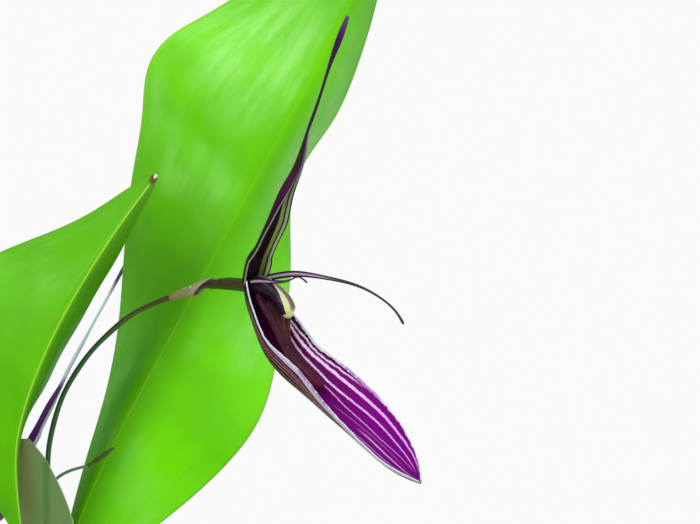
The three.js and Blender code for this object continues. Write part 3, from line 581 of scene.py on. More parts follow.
class Finish:
    """A procedural material in the making: one Principled shader, and helpers that add and link nodes.

    around goes from 0 to 1 round or over the piece, and along from 0 to 1 along it. across is -1 and 1 at a
    blade's margins, and reach is its distance from 0. place, x and z are millimetres on the plant.
    """

    def __init__(self, name, roughness, specular=0.5):
        self.material = bpy.data.materials.new(name)
        self.material.use_nodes = True
        self.tree = self.material.node_tree
        self.shader = self.tree.nodes["Principled BSDF"]
        self.shader.inputs["Roughness"].default_value = roughness
        self.shader.inputs["Specular IOR Level"].default_value = specular
        metres = self.add("ShaderNodeTexCoord").outputs["Object"]
        self.place = self.scaled(metres, (PER_MM,) * 3)
        self.x, _, self.z = self.add("ShaderNodeSeparateXYZ", Vector=self.place).outputs
        surface = self.add("ShaderNodeUVMap", settings={"uv_map": "surface"}).outputs[0]
        self.around, self.along, _ = self.add("ShaderNodeSeparateXYZ", Vector=surface).outputs
        self.across = self.math("MULTIPLY_ADD", self.around, 2, -1)
        self.reach = self.math("ABSOLUTE", self.across)

    def feed(self, socket, value):
        """Links a socket to another node's, or sets its value."""
        if isinstance(value, bpy.types.NodeSocket):
            self.tree.links.new(value, socket)
        else:
            socket.default_value = value

    def add(self, kind, settings=None, **inputs):
        """A new node with settings, and inputs by name, where an underscore stands for a space."""
        node = self.tree.nodes.new(kind)
        for name, value in (settings or {}).items():
            setattr(node, name, value)
        for name, value in inputs.items():
            self.feed(node.inputs[name.replace("_", " ")], value)
        return node

    def scaled(self, vector, scale):
        """A vector times a scale for each axis."""
        return self.add("ShaderNodeMapping", Vector=vector, Scale=scale).outputs[0]

    def math(self, operation, *values):
        """A sum, product or other operation on numbers."""
        node = self.add("ShaderNodeMath", settings={"operation": operation})
        for socket, value in zip(node.inputs, values):
            self.feed(socket, value)
        return node.outputs[0]

    def times(self, first, *others):
        """The product of several numbers."""
        for other in others:
            first = self.math("MULTIPLY", first, other)
        return first

    def step(self, value, low, high, bottom=0.0, top=1.0):
        """A soft step from bottom to top as a value goes from low to high."""
        node = self.add("ShaderNodeMapRange", settings={"interpolation_type": "SMOOTHSTEP"}, Value=value)
        for name, number in (("From Min", low), ("From Max", high), ("To Min", bottom), ("To Max", top)):
            self.feed(node.inputs[name], number)
        return node.outputs[0]

    def fall(self, value, low, high, top=1.0):
        """A soft step down from top to 0 as a value goes from low to high."""
        return self.step(value, low, high, top, 0.0)

    def band(self, value, middle, half_width, softness):
        """1 within half_width of middle, falling to 0 over the softness."""
        distance = self.math("ABSOLUTE", self.math("SUBTRACT", value, middle))
        return self.fall(distance, half_width, half_width + softness)

    def mix(self, factor, first, second, blend="MIX"):
        """The first colour where the factor is 0, and the second where it is 1."""
        node = self.add("ShaderNodeMix", settings={"data_type": "RGBA", "blend_type": blend})
        self.feed(node.inputs[0], factor)
        self.feed(node.inputs[6], light_of(first))
        self.feed(node.inputs[7], light_of(second))
        return node.outputs[2]

    def ramp(self, value, stops):
        """A colour for each value, from stops of a position and a colour."""
        node = self.add("ShaderNodeValToRGB", Fac=value)
        elements = node.color_ramp.elements
        while len(elements) < len(stops):
            elements.new(0.5)
        for element, (position, colour) in zip(elements, stops):
            element.position = position
            element.color = light_of(colour)
        return node.outputs[0]

    def at(self, value, stops):
        """A number for each value, on straight lines through stops of a position and a number from 0 to 1."""
        return self.ramp(value, [(place, grey(number)) for place, number in stops])

    def clouds(self, vector, detail, roughness):
        """Cloudy unevenness from 0 to 1 with patches about as long as one unit of a vector."""
        node = self.add("ShaderNodeTexNoise", Vector=vector, Scale=1.0, Detail=detail, Roughness=roughness)
        return node.outputs[0]

    def noise(self, size, detail=3.0, roughness=NOISE_ROUGHNESS, stretch=(1, 1, 1)):
        """Cloudy unevenness with patches of about size millimetres, stretched by axis."""
        vector = self.scaled(self.place, [1 / (size * share) for share in stretch])
        return self.clouds(vector, detail, roughness)

    def grain(self, round_count, long_count, detail=3.0):
        """Cloudy unevenness that follows the surface, with so many patches round the piece and along it."""
        x = self.times(self.around, round_count)
        y = self.times(self.along, long_count)
        return self.clouds(self.add("ShaderNodeCombineXYZ", X=x, Y=y).outputs[0], detail, NOISE_ROUGHNESS)

    def swing(self, noise, width):
        """A noise as a number about 0, within half the width on both sides."""
        return self.math("MULTIPLY_ADD", noise, width, -width / 2)

    def cells(self, size):
        """Distance to the nearest of a scatter of points about size millimetres apart."""
        vector = self.scaled(self.place, (1 / size,) * 3)
        return self.add("ShaderNodeTexVoronoi", Vector=vector, Scale=1.0).outputs["Distance"]

    def near(self, point, radius, softness):
        """1 within a radius of a point of the plant in millimetres, falling to 0 over the softness."""
        node = self.add("ShaderNodeVectorMath", settings={"operation": "DISTANCE"})
        self.feed(node.inputs[0], self.place)
        self.feed(node.inputs[1], tuple(point))
        return self.fall(node.outputs["Value"], radius, radius + softness)

    def value(self, name):
        """A value that the piece's mesh holds at its points."""
        return self.add("ShaderNodeAttribute", settings={"attribute_name": name}).outputs["Fac"]

    def done(self, colour, height=None, depth=0.0, strength=1.0, roughness=None):
        """Links colour, a relief of the given depth in millimetres and roughness to the shader."""
        self.feed(self.shader.inputs["Base Color"], colour)
        if height is not None:
            bump = self.add("ShaderNodeBump", Height=height, Distance=depth * MM, Strength=strength)
            self.feed(self.shader.inputs["Normal"], bump.outputs[0])
        if roughness is not None:
            self.feed(self.shader.inputs["Roughness"], roughness)
        return self.material


# Sizes and colours that a user would change

def length_property(name, description, size, least):
    """A length that a user can change, given in millimetres."""
    return bpy.props.FloatProperty(
        name=name, description=description, default=size * MM, min=least * MM, subtype="DISTANCE",
        unit="LENGTH")


class RestrepiaSizes(bpy.types.PropertyGroup):
    """Sizes of the plant's skins, in metres."""

    leaf_thickness: length_property("Leaf thickness", "Thickness of a leaf beside its keel", 0.6, 0.2)
    leaf_edge: length_property("Leaf edge", "Thickness of a leaf at its margin", 0.18, 0.05)
    leaf_waves: length_property("Leaf waves", "How far a leaf's surface swells and dips", 0.22, 0)
    sepal_thickness: length_property("Sepal thickness", "Thickness of a sepal at its middle", 0.4, 0.1)
    lip_thickness: length_property("Lip thickness", "Thickness of the lip at its middle", 0.7, 0.1)
    stalk_radius: length_property("Stalk radius", "Radius of a flower's stalk", 0.27, 0.05)
    sheath_count: bpy.props.IntProperty(
        name="Sheaths", description="Overlapping sheaths on each stem", default=6, min=2, max=10)
    moss_strands: bpy.props.IntProperty(
        name="Moss strands", description="Loose strands on the moss", default=1500, min=0, max=2500)
    moss_heads: bpy.props.IntProperty(
        name="Moss heads", description="Star-shaped heads on the moss", default=210, min=0, max=300)


def colour_property(name, description, *screen):
    """A colour that a user can change, given as it looks on a screen."""
    return bpy.props.FloatVectorProperty(
        name=name, description=description, default=linear(*screen), size=4, min=0, max=1, subtype="COLOR")


class RestrepiaColours(bpy.types.PropertyGroup):
    """Main colours of the finishes."""

    leaf: colour_property("Leaf", "Green of a leaf", 104, 200, 2)
    leaf_deep: colour_property("Leaf, deep", "Darker green in a leaf's clouds and veins", 84, 172, 1)
    keel: colour_property("Keel", "Yellow-green of the midrib and the margin", 150, 200, 58)
    purple: colour_property("Sepal, outer end", "Magenta-purple near the synsepal's tip", 122, 4, 120)
    crimson: colour_property("Sepal, inner end", "Crimson of the synsepal near its base", 70, 2, 38)
    pale: colour_property("Sepal, pale", "Lilac of the synsepal's stripes towards its tip", 206, 146, 216)
    dark: colour_property("Flower, dark", "Black-purple of the column", 26, 10, 24)
    lip: colour_property("Lip", "Maroon-brown of the lip", 74, 28, 50)
    cream: colour_property("Cream", "Cream of the column's flank", 204, 208, 166)
    stalk: colour_property("Stalk", "Green of a flower's stalk", 40, 98, 52)
    papery: colour_property("Papery bracts", "Tan of the dry bracts and sheaths", 186, 172, 126)
    terracotta: colour_property("Terracotta", "Fired clay of the pot", 186, 104, 66)
    moss: colour_property("Moss", "Straw of the dried moss", 176, 158, 98)


class RestrepiaLight(bpy.types.PropertyGroup):
    """Strengths of the studio's lamps."""

    key: bpy.props.FloatProperty(
        name="Key", description="Power of the soft lamp above the plant", default=1.9, unit="POWER")
    fill: bpy.props.FloatProperty(
        name="Fill", description="Power of the soft lamp at the right", default=0.8, unit="POWER")
    back: bpy.props.FloatProperty(
        name="Back", description="Power of the soft lamp behind the plant", default=0.8, unit="POWER")
    ambient: bpy.props.FloatProperty(
        name="Ambient", description="Brightness of the room's even light", default=0.9, min=0)


# Finishes of the plant

# Places on the leaves, in millimetres: the middle of the painted sheen on the flowering leaf with its radius
# and softness, and the brown and the dry spot at the short leaf's tip, each a shift from the tip, a radius
# and a softness
LEAF_PAINTED_SHEEN = ((20, 11, 162.5), 2, 10)
BROWN_TIP = ((-0.1, -0.2, -0.25), 0.6, 0.6)
DRY_TIP = ((0.05, -0.2, 0.05), 0.4, 0.25)


def leaf_finish(colours):
    """Smooth, glossy leaf: cloudy green, each half in its tone with painted light and shade, with faint
    veins, a pale keel and margin.

    A pale, streaky painted sheen lies on the left half and where the painted light is brightest, most of all
    at one place on the flowering leaf. The short leaf's tip is brown and dry.
    """
    made = Finish("leaf", 0.36, 0.1)
    tone = made.value("tone")
    veins = made.grain(64, 3, 2)
    green = made.mix(made.step(made.noise(9), 0.35, 0.7, 0.0, 0.55), colours.leaf, colours.leaf_deep)
    green = made.mix(made.step(veins, 0.5, 0.8, 0.0, 0.2), green, colours.leaf_deep)
    # Painted light and shade: the green is multiplied by each half's brightness factor, lower where a half
    # turns from the light and higher where it is lit
    green = made.mix(1.0, green, tone, "MULTIPLY")
    # Painted sheen: a pale, streaky highlight laid into the green, strongest at one place on the flowering
    # leaf, and on the left half and where the painted light is brightest
    bloom = made.times(made.near(*LEAF_PAINTED_SHEEN), 0.55)
    bloom = made.math("MAXIMUM", bloom, made.step(made.noise(13, 2), 0.45, 0.75, 0.0, 0.32))
    streaks = made.step(made.grain(14, 9, 4), 0.36, 0.66, 0.3, 1.0)
    painted_sheen_places = made.math("MAXIMUM", made.fall(made.across, -0.06, -0.01), made.step(tone, 1.0, 1.2))
    painted_sheen = made.times(bloom, streaks, painted_sheen_places, made.step(tone, 0.6, 0.9))
    green = made.mix(painted_sheen, green, (170, 232, 136))
    keel = made.fall(made.times(made.reach, made.value("width")), 0.04, 0.14)
    back = made.math("SUBTRACT", 1, made.value("upper"))
    green = made.mix(made.times(keel, made.value("keel"), back), green, colours.keel)
    green = made.mix(made.step(made.reach, 0.975, 0.995, 0.0, 0.6), green, colours.keel)
    brown = made.mix(made.noise(1.2), (112, 74, 30), (70, 50, 22))
    for (shift, radius, softness), colour in ((BROWN_TIP, brown), (DRY_TIP, (238, 230, 200))):
        spot = np.array(SHORT_LEAF["line"][-1]) + shift
        green = made.mix(made.near(spot, radius, softness), green, colour)
    height = made.math("MULTIPLY_ADD", made.cells(0.32), 0.3, made.times(veins, 0.7))
    gloss = made.step(made.noise(2.5, 4), 0.3, 0.75, 0.32, 0.46)
    return made.done(green, height, 0.05, strength=0.4, roughness=gloss)


def mottled(made, noise, first, second, depth):
    """A finish whose one noise mixes two colours and is its relief too."""
    return made.done(made.mix(noise, first, second), noise, depth)


def ovary_finish(colours):
    """Dark olive-brown ovary, browner in streaks along it."""
    made = Finish("ovary", 0.42)
    return mottled(made, made.grain(12, 6), (66, 54, 16), (44, 30, 14), 0.05)


def withered_finish(colours):
    """Withered flower: crumpled, olive-brown."""
    made = Finish("withered", 0.7)
    return mottled(made, made.noise(0.8, 4), (96, 104, 26), (66, 62, 14), 0.15)


def rhizome_finish(colours):
    """Rhizome: brown-green, with dry fibres of old sheaths."""
    made = Finish("rhizome", 0.8)
    return mottled(made, made.grain(16, 5, 4), (126, 112, 66), (74, 62, 34), 0.3)


def spent_stalk_finish(colours):
    """Withered flower's stalk: thin and a pale blue-green."""
    made = Finish("spent_stalk", 0.6)
    return made.done(made.mix(made.noise(1.5), (104, 148, 112), (92, 124, 104)))


def stem_finish(colours):
    """Firm green stem, paler and browner in streaks along it."""
    made = Finish("stem", 0.45)
    streaks = made.grain(9, 4)
    green = made.mix(made.step(streaks, 0.35, 0.7), (120, 160, 52), (86, 122, 34))
    return made.done(green, streaks, 0.06)


def sheath_finish(colours):
    """Papery sheath: tan with lengthwise fibres, purple-brown freckles and a ragged brown mouth."""
    made = Finish("sheath", 0.7)
    fibres = made.grain(46, 3, 4)
    tan = made.mix(fibres, colours.papery, (222, 214, 182))
    freckles = made.times(made.fall(made.cells(0.85), 0.16, 0.34), made.step(made.noise(2.2, 2), 0.38, 0.55))
    tan = made.mix(made.times(freckles, 0.85), tan, (82, 44, 46))
    tan = made.mix(made.step(made.along, 0.86, 1.0, 0.0, 0.6), tan, (126, 96, 56))
    return made.done(tan, fibres, 0.08)


def stalk_finish(colours):
    """Flower stalk: green below, browner above, with fine darker streaks."""
    made = Finish("stalk", 0.4)
    base = made.mix(made.step(made.z, 131, 135), colours.stalk, (92, 84, 40))
    base = made.mix(made.step(made.z, 134.5, 137), base, (84, 68, 40))
    streaks = made.grain(6, 60)
    base = made.mix(made.times(streaks, 0.45), base, (46, 58, 26))
    return made.done(base, streaks, 0.03)


def bract_finish(colours):
    """Tan, papery floral bract with fine fibres and pale specks."""
    made = Finish("floral_bract", 0.65)
    fibres = made.grain(30, 3, 4)
    base = made.mix(fibres, (160, 150, 96), (118, 112, 62))
    base = made.mix(made.step(made.along, 0.6, 0.9, 0.0, 0.6), base, (166, 148, 138))
    base = made.mix(made.fall(made.cells(1.1), 0.1, 0.2, 0.8), base, (214, 208, 190))
    return made.done(base, fibres, 0.05)


# Where the first flower's stalk passes behind the spathe
STALK_SHADOW = -0.98


def spathe_finish(colours):
    """Spathe: thin, papery, grey-green and tan at one side, with a stalk's shadow showing through it."""
    made = Finish("spathe", 0.6, 0.2)
    fibres = made.grain(34, 3, 4)
    uneven = made.math("MULTIPLY_ADD", made.noise(3.2), 1.6, made.math("SUBTRACT", made.x, 0.8))
    base = made.mix(made.step(uneven, -3.3, -1.6), (136, 138, 92), (120, 150, 94))
    base = made.mix(made.times(fibres, 0.35), base, (92, 116, 52))
    base = made.mix(made.times(made.band(made.x, STALK_SHADOW, 0.16, 0.3), 0.6), base, (78, 124, 36))
    base = made.mix(made.step(made.reach, 0.93, 0.99, 0.0, 0.6), base, (204, 214, 186))
    return made.done(base, fibres, 0.06)


# The stripes along half of a sepal: each one's distance from the middle line (0) to the margin (1) at stops
# along the sepal, its half width, where along the sepal it begins and ends, and its strength
SYNSEPAL_STRIPES = [
    ([(0.2, 0.88), (0.28, 0.9), (0.37, 0.928), (0.45, 0.916), (0.5, 0.908), (0.57, 0.916), (0.67, 0.95)],
     0.012, 0.16, 0.66, 0.95),
    ([(0, 0.83), (0.33, 0.831), (0.42, 0.853), (0.49, 0.842), (0.576, 0.82), (0.67, 0.832), (0.8, 0.842),
      (0.9, 0.916), (1, 0.96)], 0.023, 0.1, 0.98, 1.0),
    ([(0.2, 0.7), (0.32, 0.721), (0.41, 0.734), (0.47, 0.721), (0.51, 0.693), (0.554, 0.649), (0.6, 0.634),
      (0.7, 0.65), (0.81, 0.67), (0.87, 0.712), (0.95, 0.75)], 0.018, 0.2, 0.96, 1.0),
    ([(0.45, 0.56), (0.556, 0.539), (0.589, 0.522), (0.642, 0.471), (0.72, 0.436), (0.79, 0.42),
      (0.855, 0.522), (0.92, 0.62)], 0.012, 0.45, 0.95, 0.8),
    ([(0.7, 0.17), (0.84, 0.176), (0.89, 0.2), (0.96, 0.15)], 0.034, 0.72, 0.99, 0.85),
    ([(0.6, 0.3), (0.75, 0.3), (0.9, 0.4)], 0.008, 0.6, 0.92, 0.4),
]
SYNSEPAL_VEINS = [
    ([(0, 0.66), (0.4, 0.68), (0.55, 0.66), (1, 0.5)], 0.012, 0.06, 0.72, 0.75),
    ([(0, 0.78), (0.4, 0.78), (0.52, 0.76), (1, 0.6)], 0.012, 0.06, 0.68, 0.9),
    ([(0, 0.86), (0.43, 0.86), (0.5, 0.83), (0.56, 0.8), (1, 0.7)], 0.009, 0.1, 0.62, 0.6),
    ([(0, 0.5), (0.5, 0.5), (1, 0.36)], 0.012, 0.1, 0.8, 0.6),
    ([(0, 0.3), (1, 0.2)], 0.012, 0.1, 0.85, 0.5),
]
STRIPE_FADE = 0.08

# Where a pale margin begins, at stops along the synsepal: on its outside and on its inside
OUTER_MARGIN = [
    (0.0, 0.975), (0.31, 0.952), (0.42, 0.915), (0.5, 0.88), (0.56, 0.88), (0.61, 0.81), (0.66, 0.79),
    (0.71, 0.81), (0.76, 0.77), (0.82, 0.7), (1.0, 0.66),
]
INNER_MARGIN = [(0.0, 0.967), (0.56, 0.965), (0.66, 0.955), (0.76, 0.972), (1.0, 0.975)]


def stripes_of(made, stripes, ragged, softness):
    """How far a place on a sepal belongs to one of its stripes, whose edges are ragged by a noise."""
    reach = made.math("ADD", made.reach, made.swing(made.noise(0.3), ragged))
    total = 0.0
    for stops, half_width, start, end, strength in stripes:
        distance = made.math("ABSOLUTE", made.math("SUBTRACT", reach, made.at(made.along, stops)))
        band = made.fall(distance, half_width - softness, half_width + softness, strength)
        begun = made.step(made.along, start, start + STRIPE_FADE)
        unended = made.fall(made.along, end - STRIPE_FADE, end)
        total = made.math("MAXIMUM", total, made.times(band, begun, unended))
    return total


def synsepal_finish(colours):
    """Synsepal: inside, pale stripes on crimson that turns magenta-purple, and dull ones outside.

    A thin dark line runs beside the pale margin, and the margin is warty about its middle.
    """
    made = Finish("synsepal", 0.4, 0.03)
    grain = made.noise(0.5, 4)
    purple = made.ramp(made.along, [
        (0.0, (38, 4, 24)), (0.16, colours.crimson), (0.4, (88, 4, 56)), (0.56, (104, 4, 92)),
        (0.7, colours.purple), (1.0, (106, 4, 112))])
    purple = made.mix(made.times(grain, 0.3), purple, (86, 4, 104))
    pale = made.ramp(made.along, [
        (0.1, (240, 232, 244)), (0.36, (238, 220, 240)), (0.6, (230, 190, 238)), (0.85, colours.pale),
        (1.0, (190, 120, 196))])
    inside = made.mix(stripes_of(made, SYNSEPAL_STRIPES, 0.035, 0.007), purple, pale)
    line = made.times(made.band(made.reach, 0.954, 0.007, 0.005), made.fall(made.along, 0.56, 0.66))
    inside = made.mix(line, inside, (34, 4, 30))
    dull = made.ramp(made.along, [
        (0.0, (20, 6, 16)), (0.25, (28, 5, 20)), (0.4, (56, 5, 32)), (0.65, (84, 10, 66)),
        (1.0, (112, 44, 108))])
    outside = made.mix(stripes_of(made, SYNSEPAL_VEINS, 0.03, 0.008), dull, (204, 132, 158))
    rim = made.step(made.math("SUBTRACT", made.reach, made.at(made.along, OUTER_MARGIN)), 0.0, 0.03)
    outside = made.mix(rim, outside, made.mix(grain, (216, 198, 218), (188, 166, 208)))
    base = made.mix(made.value("upper"), outside, inside)
    rough = made.math("ADD", made.reach, made.swing(made.noise(0.35), 0.05))
    margin = made.step(made.math("SUBTRACT", rough, made.at(made.along, INNER_MARGIN)), -0.004, 0.006)
    warts = made.times(made.band(made.along, 0.63, 0.05, 0.05), made.step(made.cells(0.5), 0.2, 0.4), 0.7)
    pale_margin = made.mix(warts, made.mix(grain, (222, 220, 230), (184, 178, 200)), (150, 60, 170))
    base = made.mix(margin, base, pale_margin)
    gloss = made.step(grain, 0.3, 0.7, 0.3, 0.46)
    return made.done(base, made.cells(0.22), 0.05, strength=0.5, roughness=gloss)


def dorsal_finish(colours):
    """Dorsal sepal: black-purple outside, with an olive stripe and a pale rim inside its hood.

    Its right margin is grey-green. The thread is brown-black with a pale edge, and the club at its end is
    purple. The rear flower's sepal has one pale lavender side.
    """
    made = Finish("dorsal_sepal", 0.36, 0.06)
    grain = made.noise(0.4)
    olive = made.ramp(made.along, [
        (0.0, (88, 86, 40)), (0.2, (122, 132, 64)), (0.38, (136, 156, 86)), (0.5, (140, 124, 140))])
    dark = made.ramp(made.along, [(0.0, (22, 14, 18)), (0.25, (20, 10, 16)), (0.45, (54, 18, 48))])
    inside = made.mix(made.band(made.reach, 0.68, 0.07, 0.04), dark, olive)
    inside = made.mix(made.band(made.reach, 0.9, 0.045, 0.025), inside, (150, 166, 122))
    outside = made.ramp(made.along, [
        (0.0, (20, 14, 18)), (0.2, (22, 12, 20)), (0.38, (44, 12, 42)), (0.5, (66, 20, 60))])
    base = made.mix(made.value("upper"), outside, inside)
    right_margin = made.times(made.step(made.reach, 0.975, 0.992), made.fall(made.across, -0.1, 0.1))
    base = made.mix(right_margin, base, (120, 124, 104))
    thread = made.ramp(made.along, [
        (0.5, (60, 28, 52)), (0.62, (42, 32, 34)), (0.8, (46, 40, 32)), (0.88, (54, 26, 58)),
        (0.93, (60, 18, 80)), (1.0, (100, 66, 106))])
    thread = made.mix(made.times(grain, 0.3), thread, (30, 18, 26))
    thread = made.mix(made.step(made.across, 0.4, 0.85, 0.0, 0.7), thread, (168, 150, 172))
    base = made.mix(made.step(made.along, 0.48, 0.56), base, thread)
    rear = made.ramp(made.along, [
        (0.0, (70, 22, 84)), (0.42, (78, 40, 96)), (0.5, (176, 188, 210)), (0.84, (194, 208, 220)),
        (0.9, (84, 80, 112)), (1.0, (64, 60, 88))])
    lavender = made.times(made.fall(made.across, -0.25, 0.0), made.fall(made.along, 0.4, 0.5))
    rear = made.mix(lavender, rear, (206, 196, 228))
    return made.done(made.mix(made.value("clear"), base, rear), grain, 0.03)


def petal_finish(colours):
    """Petal: dark purple-grey thread, with a pale stripe along each side of its flat base."""
    made = Finish("petal", 0.4, 0.06)
    flank = made.math("ABSOLUTE", made.math("SINE", made.times(made.around, 2 * math.pi)))
    stripe = made.times(made.fall(flank, 0.25, 0.5), made.step(made.along, 0.3, 0.5, 0.9, 0.12))
    thread = made.mix(made.noise(0.8), (58, 32, 56), (34, 22, 36))
    return made.done(made.mix(stripe, thread, (166, 150, 172)), made.noise(0.3), 0.03)


def lip_finish(colours):
    """Lip: maroon-brown, redder to its tip and olive-brown along its raised base edges, finely warty."""
    made = Finish("lip", 0.42, 0.1)
    grain = made.noise(0.6, 4)
    body = made.mix(made.step(made.along, 0.5, 1.0), colours.lip, (104, 24, 58))
    base = made.mix(grain, body, (52, 18, 34))
    ridges = made.times(made.step(made.grain(7, 1.6), 0.42, 0.62), made.fall(made.along, 0.3, 0.55, 0.75))
    base = made.mix(ridges, base, made.mix(grain, (112, 84, 42), (72, 46, 28)))
    return made.done(base, made.cells(0.28), 0.06, strength=0.6)


def column_finish(colours):
    """Column: glossy black-purple, with a cream flank that widens to the tip and painted grey-brown shade on
    its back.
    """
    made = Finish("column", 0.22, 0.3)
    turn = made.math("SUBTRACT", 0.5, made.math("ABSOLUTE", made.math("SUBTRACT", made.around, 0.5)))
    limit = made.at(made.along, [(0.0, 0.0), (0.3, 0.0), (0.5, 0.09), (0.75, 0.165), (1.0, 0.2)])
    flank = made.fall(made.math("SUBTRACT", turn, limit), -0.02, 0.0)
    grain = made.noise(0.7)
    base = made.mix(grain, colours.dark, (44, 20, 48))
    pale = made.ramp(made.along, [(0.4, colours.cream), (0.8, colours.cream), (1.0, (206, 218, 140))])
    base = made.mix(made.times(flank, made.step(made.along, 0.3, 0.36)), base, pale)
    # Painted shade: a grey-brown band along the column's back, where it turns away from the light
    back = made.times(made.fall(turn, 0.05, 0.085), made.fall(made.along, 0.9, 0.98, 0.9))
    base = made.mix(back, base, (104, 86, 72))
    spine = made.times(made.fall(turn, 0.008, 0.02), made.fall(made.along, 0.75, 0.9, 0.9))
    return made.done(made.mix(spine, base, (60, 44, 44)), grain, 0.03)


def anther_finish(colours):
    """Anther cap: waxy cream, greener in patches."""
    made = Finish("anther", 0.35)
    return made.done(made.mix(made.noise(0.6), colours.cream, (176, 190, 118)), made.noise(0.3), 0.03)


def bud_finish(colours):
    """Bud: closed purple sepals with eleven paler veins along them, greener at the base."""
    made = Finish("bud", 0.4)
    veins = made.math("SINE", made.times(made.around, 11 * 2 * math.pi))
    veins = made.math("MULTIPLY_ADD", made.noise(0.5), 0.6, veins)
    purple = made.mix(made.step(veins, 0.2, 1.1), (92, 26, 74), (196, 160, 180))
    return made.done(made.mix(made.fall(made.along, 0.02, 0.2), purple, (122, 138, 66)), veins, 0.04)


def root_finish(colours):
    """Root: silver-white velamen, with a green growing tip."""
    made = Finish("root", 0.75)
    grain = made.noise(0.7, 4)
    base = made.mix(grain, (226, 222, 204), (180, 176, 152))
    return made.done(made.mix(made.step(made.along, 0.94, 0.985), base, (120, 158, 66)), grain, 0.12)


def moss_finish(colours):
    """Dried moss: each strand between straw, olive green and brown, darker deep down."""
    made = Finish("moss", 0.95)
    grain = made.noise(1.4, 4)
    base = made.ramp(made.math("ADD", made.value("tint"), made.swing(grain, 0.5)), [
        (0.0, (92, 70, 40)), (0.3, colours.moss), (0.6, (206, 190, 132)), (0.85, (150, 156, 78)),
        (1.0, (112, 134, 52))])
    return made.done(base, grain, 0.35)


def terracotta_finish(colours):
    """Terracotta: fired clay with fine grit, turning marks and chalky bloom below the rim."""
    made = Finish("terracotta", 0.85)
    clay = made.mix(made.step(made.noise(16, 4), 0.35, 0.7), colours.terracotta, (160, 84, 52))
    bloom = made.times(made.step(made.noise(7, 6, 0.65), 0.5, 0.72), made.step(made.z, 8, 46, 0.25, 0.8))
    clay = made.mix(bloom, clay, (226, 206, 186))
    damp = made.times(made.step(made.noise(10, 4), 0.4, 0.7), made.fall(made.z, 2, 16, 0.6))
    clay = made.mix(damp, clay, (96, 84, 52))
    marks = made.noise(1, stretch=(60, 60, 1.1))
    relief = made.math("MULTIPLY_ADD", marks, 0.8, made.noise(0.9, 5, 0.7))
    return made.done(clay, relief, 0.22, roughness=made.step(bloom, 0, 1, 0.8, 0.95))


FINISHES = {
    "leaf": leaf_finish,
    "ovary": ovary_finish,
    "withered": withered_finish,
    "rhizome": rhizome_finish,
    "spent_stalk": spent_stalk_finish,
    "stem": stem_finish,
    "sheath": sheath_finish,
    "stalk": stalk_finish,
    "bract": bract_finish,
    "spathe": spathe_finish,
    "synsepal": synsepal_finish,
    "dorsal": dorsal_finish,
    "petal": petal_finish,
    "lip": lip_finish,
    "column": column_finish,
    "anther": anther_finish,
    "bud": bud_finish,
    "root": root_finish,
    "moss": moss_finish,
    "terracotta": terracotta_finish,
}
made_finishes = {}


def finish(name):
    """The named finish, made when a piece first needs it."""
    if name not in made_finishes:
        made_finishes[name] = FINISHES[name](bpy.context.scene.restrepia_colours)
    return made_finishes[name]


def add_mesh(name, skin, material):
    """A mesh object at the origin from a skin in millimetres, with its UV map and its values."""
    mesh = bpy.data.meshes.new(name)
    mesh.from_pydata(skin.points * MM, [], skin.quads.tolist() + skin.triangles.tolist())
    corners = np.concatenate([skin.quad_uv.reshape(-1, 2), skin.triangle_uv.reshape(-1, 2)])
    mesh.uv_layers.new(name="surface").data.foreach_set("uv", corners.astype(np.float32).ravel())
    for label, value in skin.values.items():
        held = mesh.attributes.new(label, "FLOAT", "POINT")
        held.data.foreach_set("value", value.astype(np.float32))
    mesh.shade_smooth()
    mesh.materials.append(material)
    made = bpy.data.objects.new(name, mesh)
    bpy.context.scene.collection.objects.link(made)
    return made


def add_piece(node, skin, finish_name):
    """A piece that stands for a CAD node: it rides with the plant, wears the named finish and hides the node.
    """
    piece = add_mesh(f"{node}_skin", skin, finish(finish_name))
    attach(piece, "root")
    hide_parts(node)
    return piece


# Pot, moss, rhizome and roots

def inner_radius(height):
    """Inside radius of the pot's wall at a height."""
    return np.interp(height, [0, POT_HEIGHT], [POT_BASE_RADIUS - POT_WALL, POT_RIM_RADIUS - POT_WALL])


def moss_height(x, y):
    """Height of the moss: a low mound, highest at the middle, with soft ripples that die out at the edge."""
    share = np.minimum(np.hypot(x, y) / inner_radius(MOSS_EDGE_HEIGHT), 1)
    ripple = np.sin(0.31 * x + 1) * np.cos(0.27 * y - 0.6)
    return MOSS_EDGE_HEIGHT + (MOSS_MOUND + MOSS_RIPPLE * ripple) * (1 - share**2)


def rounded_profile(corners, fillets, spacing):
    """A profile through corners, each rounded by a parabola that starts and ends a fillet away from it."""
    corners = np.array(corners, float)
    pieces = [corners[:1]]
    for before, corner, after, fillet in zip(corners, corners[1:], corners[2:], fillets):
        start = corner + fillet * unit(before - corner)
        end = corner + fillet * unit(after - corner)
        share = np.linspace(0, 1, 7)[:, None]
        pieces.append((1 - share) ** 2 * start + 2 * share * (1 - share) * corner + share**2 * end)
    pieces.append(corners[-1:])
    rough = np.concatenate(pieces)
    run = np.concatenate([[0], np.cumsum(np.linalg.norm(np.diff(rough, axis=0), axis=1))])
    even = np.linspace(0, run[-1], int(run[-1] / spacing))
    places = np.union1d(even, run)
    return np.stack([np.interp(places, run, rough[:, axis]) for axis in range(2)], axis=-1)


def turned(profile, columns):
    """A body of revolution: each profile point's radius times cosine and sine of the turn, at its height."""
    angle = np.arange(columns) * 2 * np.pi / columns
    radius = profile[:, :1]
    height = np.broadcast_to(profile[:, 1:], (len(profile), columns))
    return np.stack([radius * np.cos(angle), radius * np.sin(angle), height], axis=-1)


HUB_RADIUS = 0.4
POT_COLUMNS = 144
POT_SPACING = 0.9
POT_FILLETS = [1.2, 0.9, 1.1, 1.4, 1.3, 2.0]
POT_UNEVEN = 0.1
THROWING_DEPTH = 0.035
THROWING_PITCH = 2.4


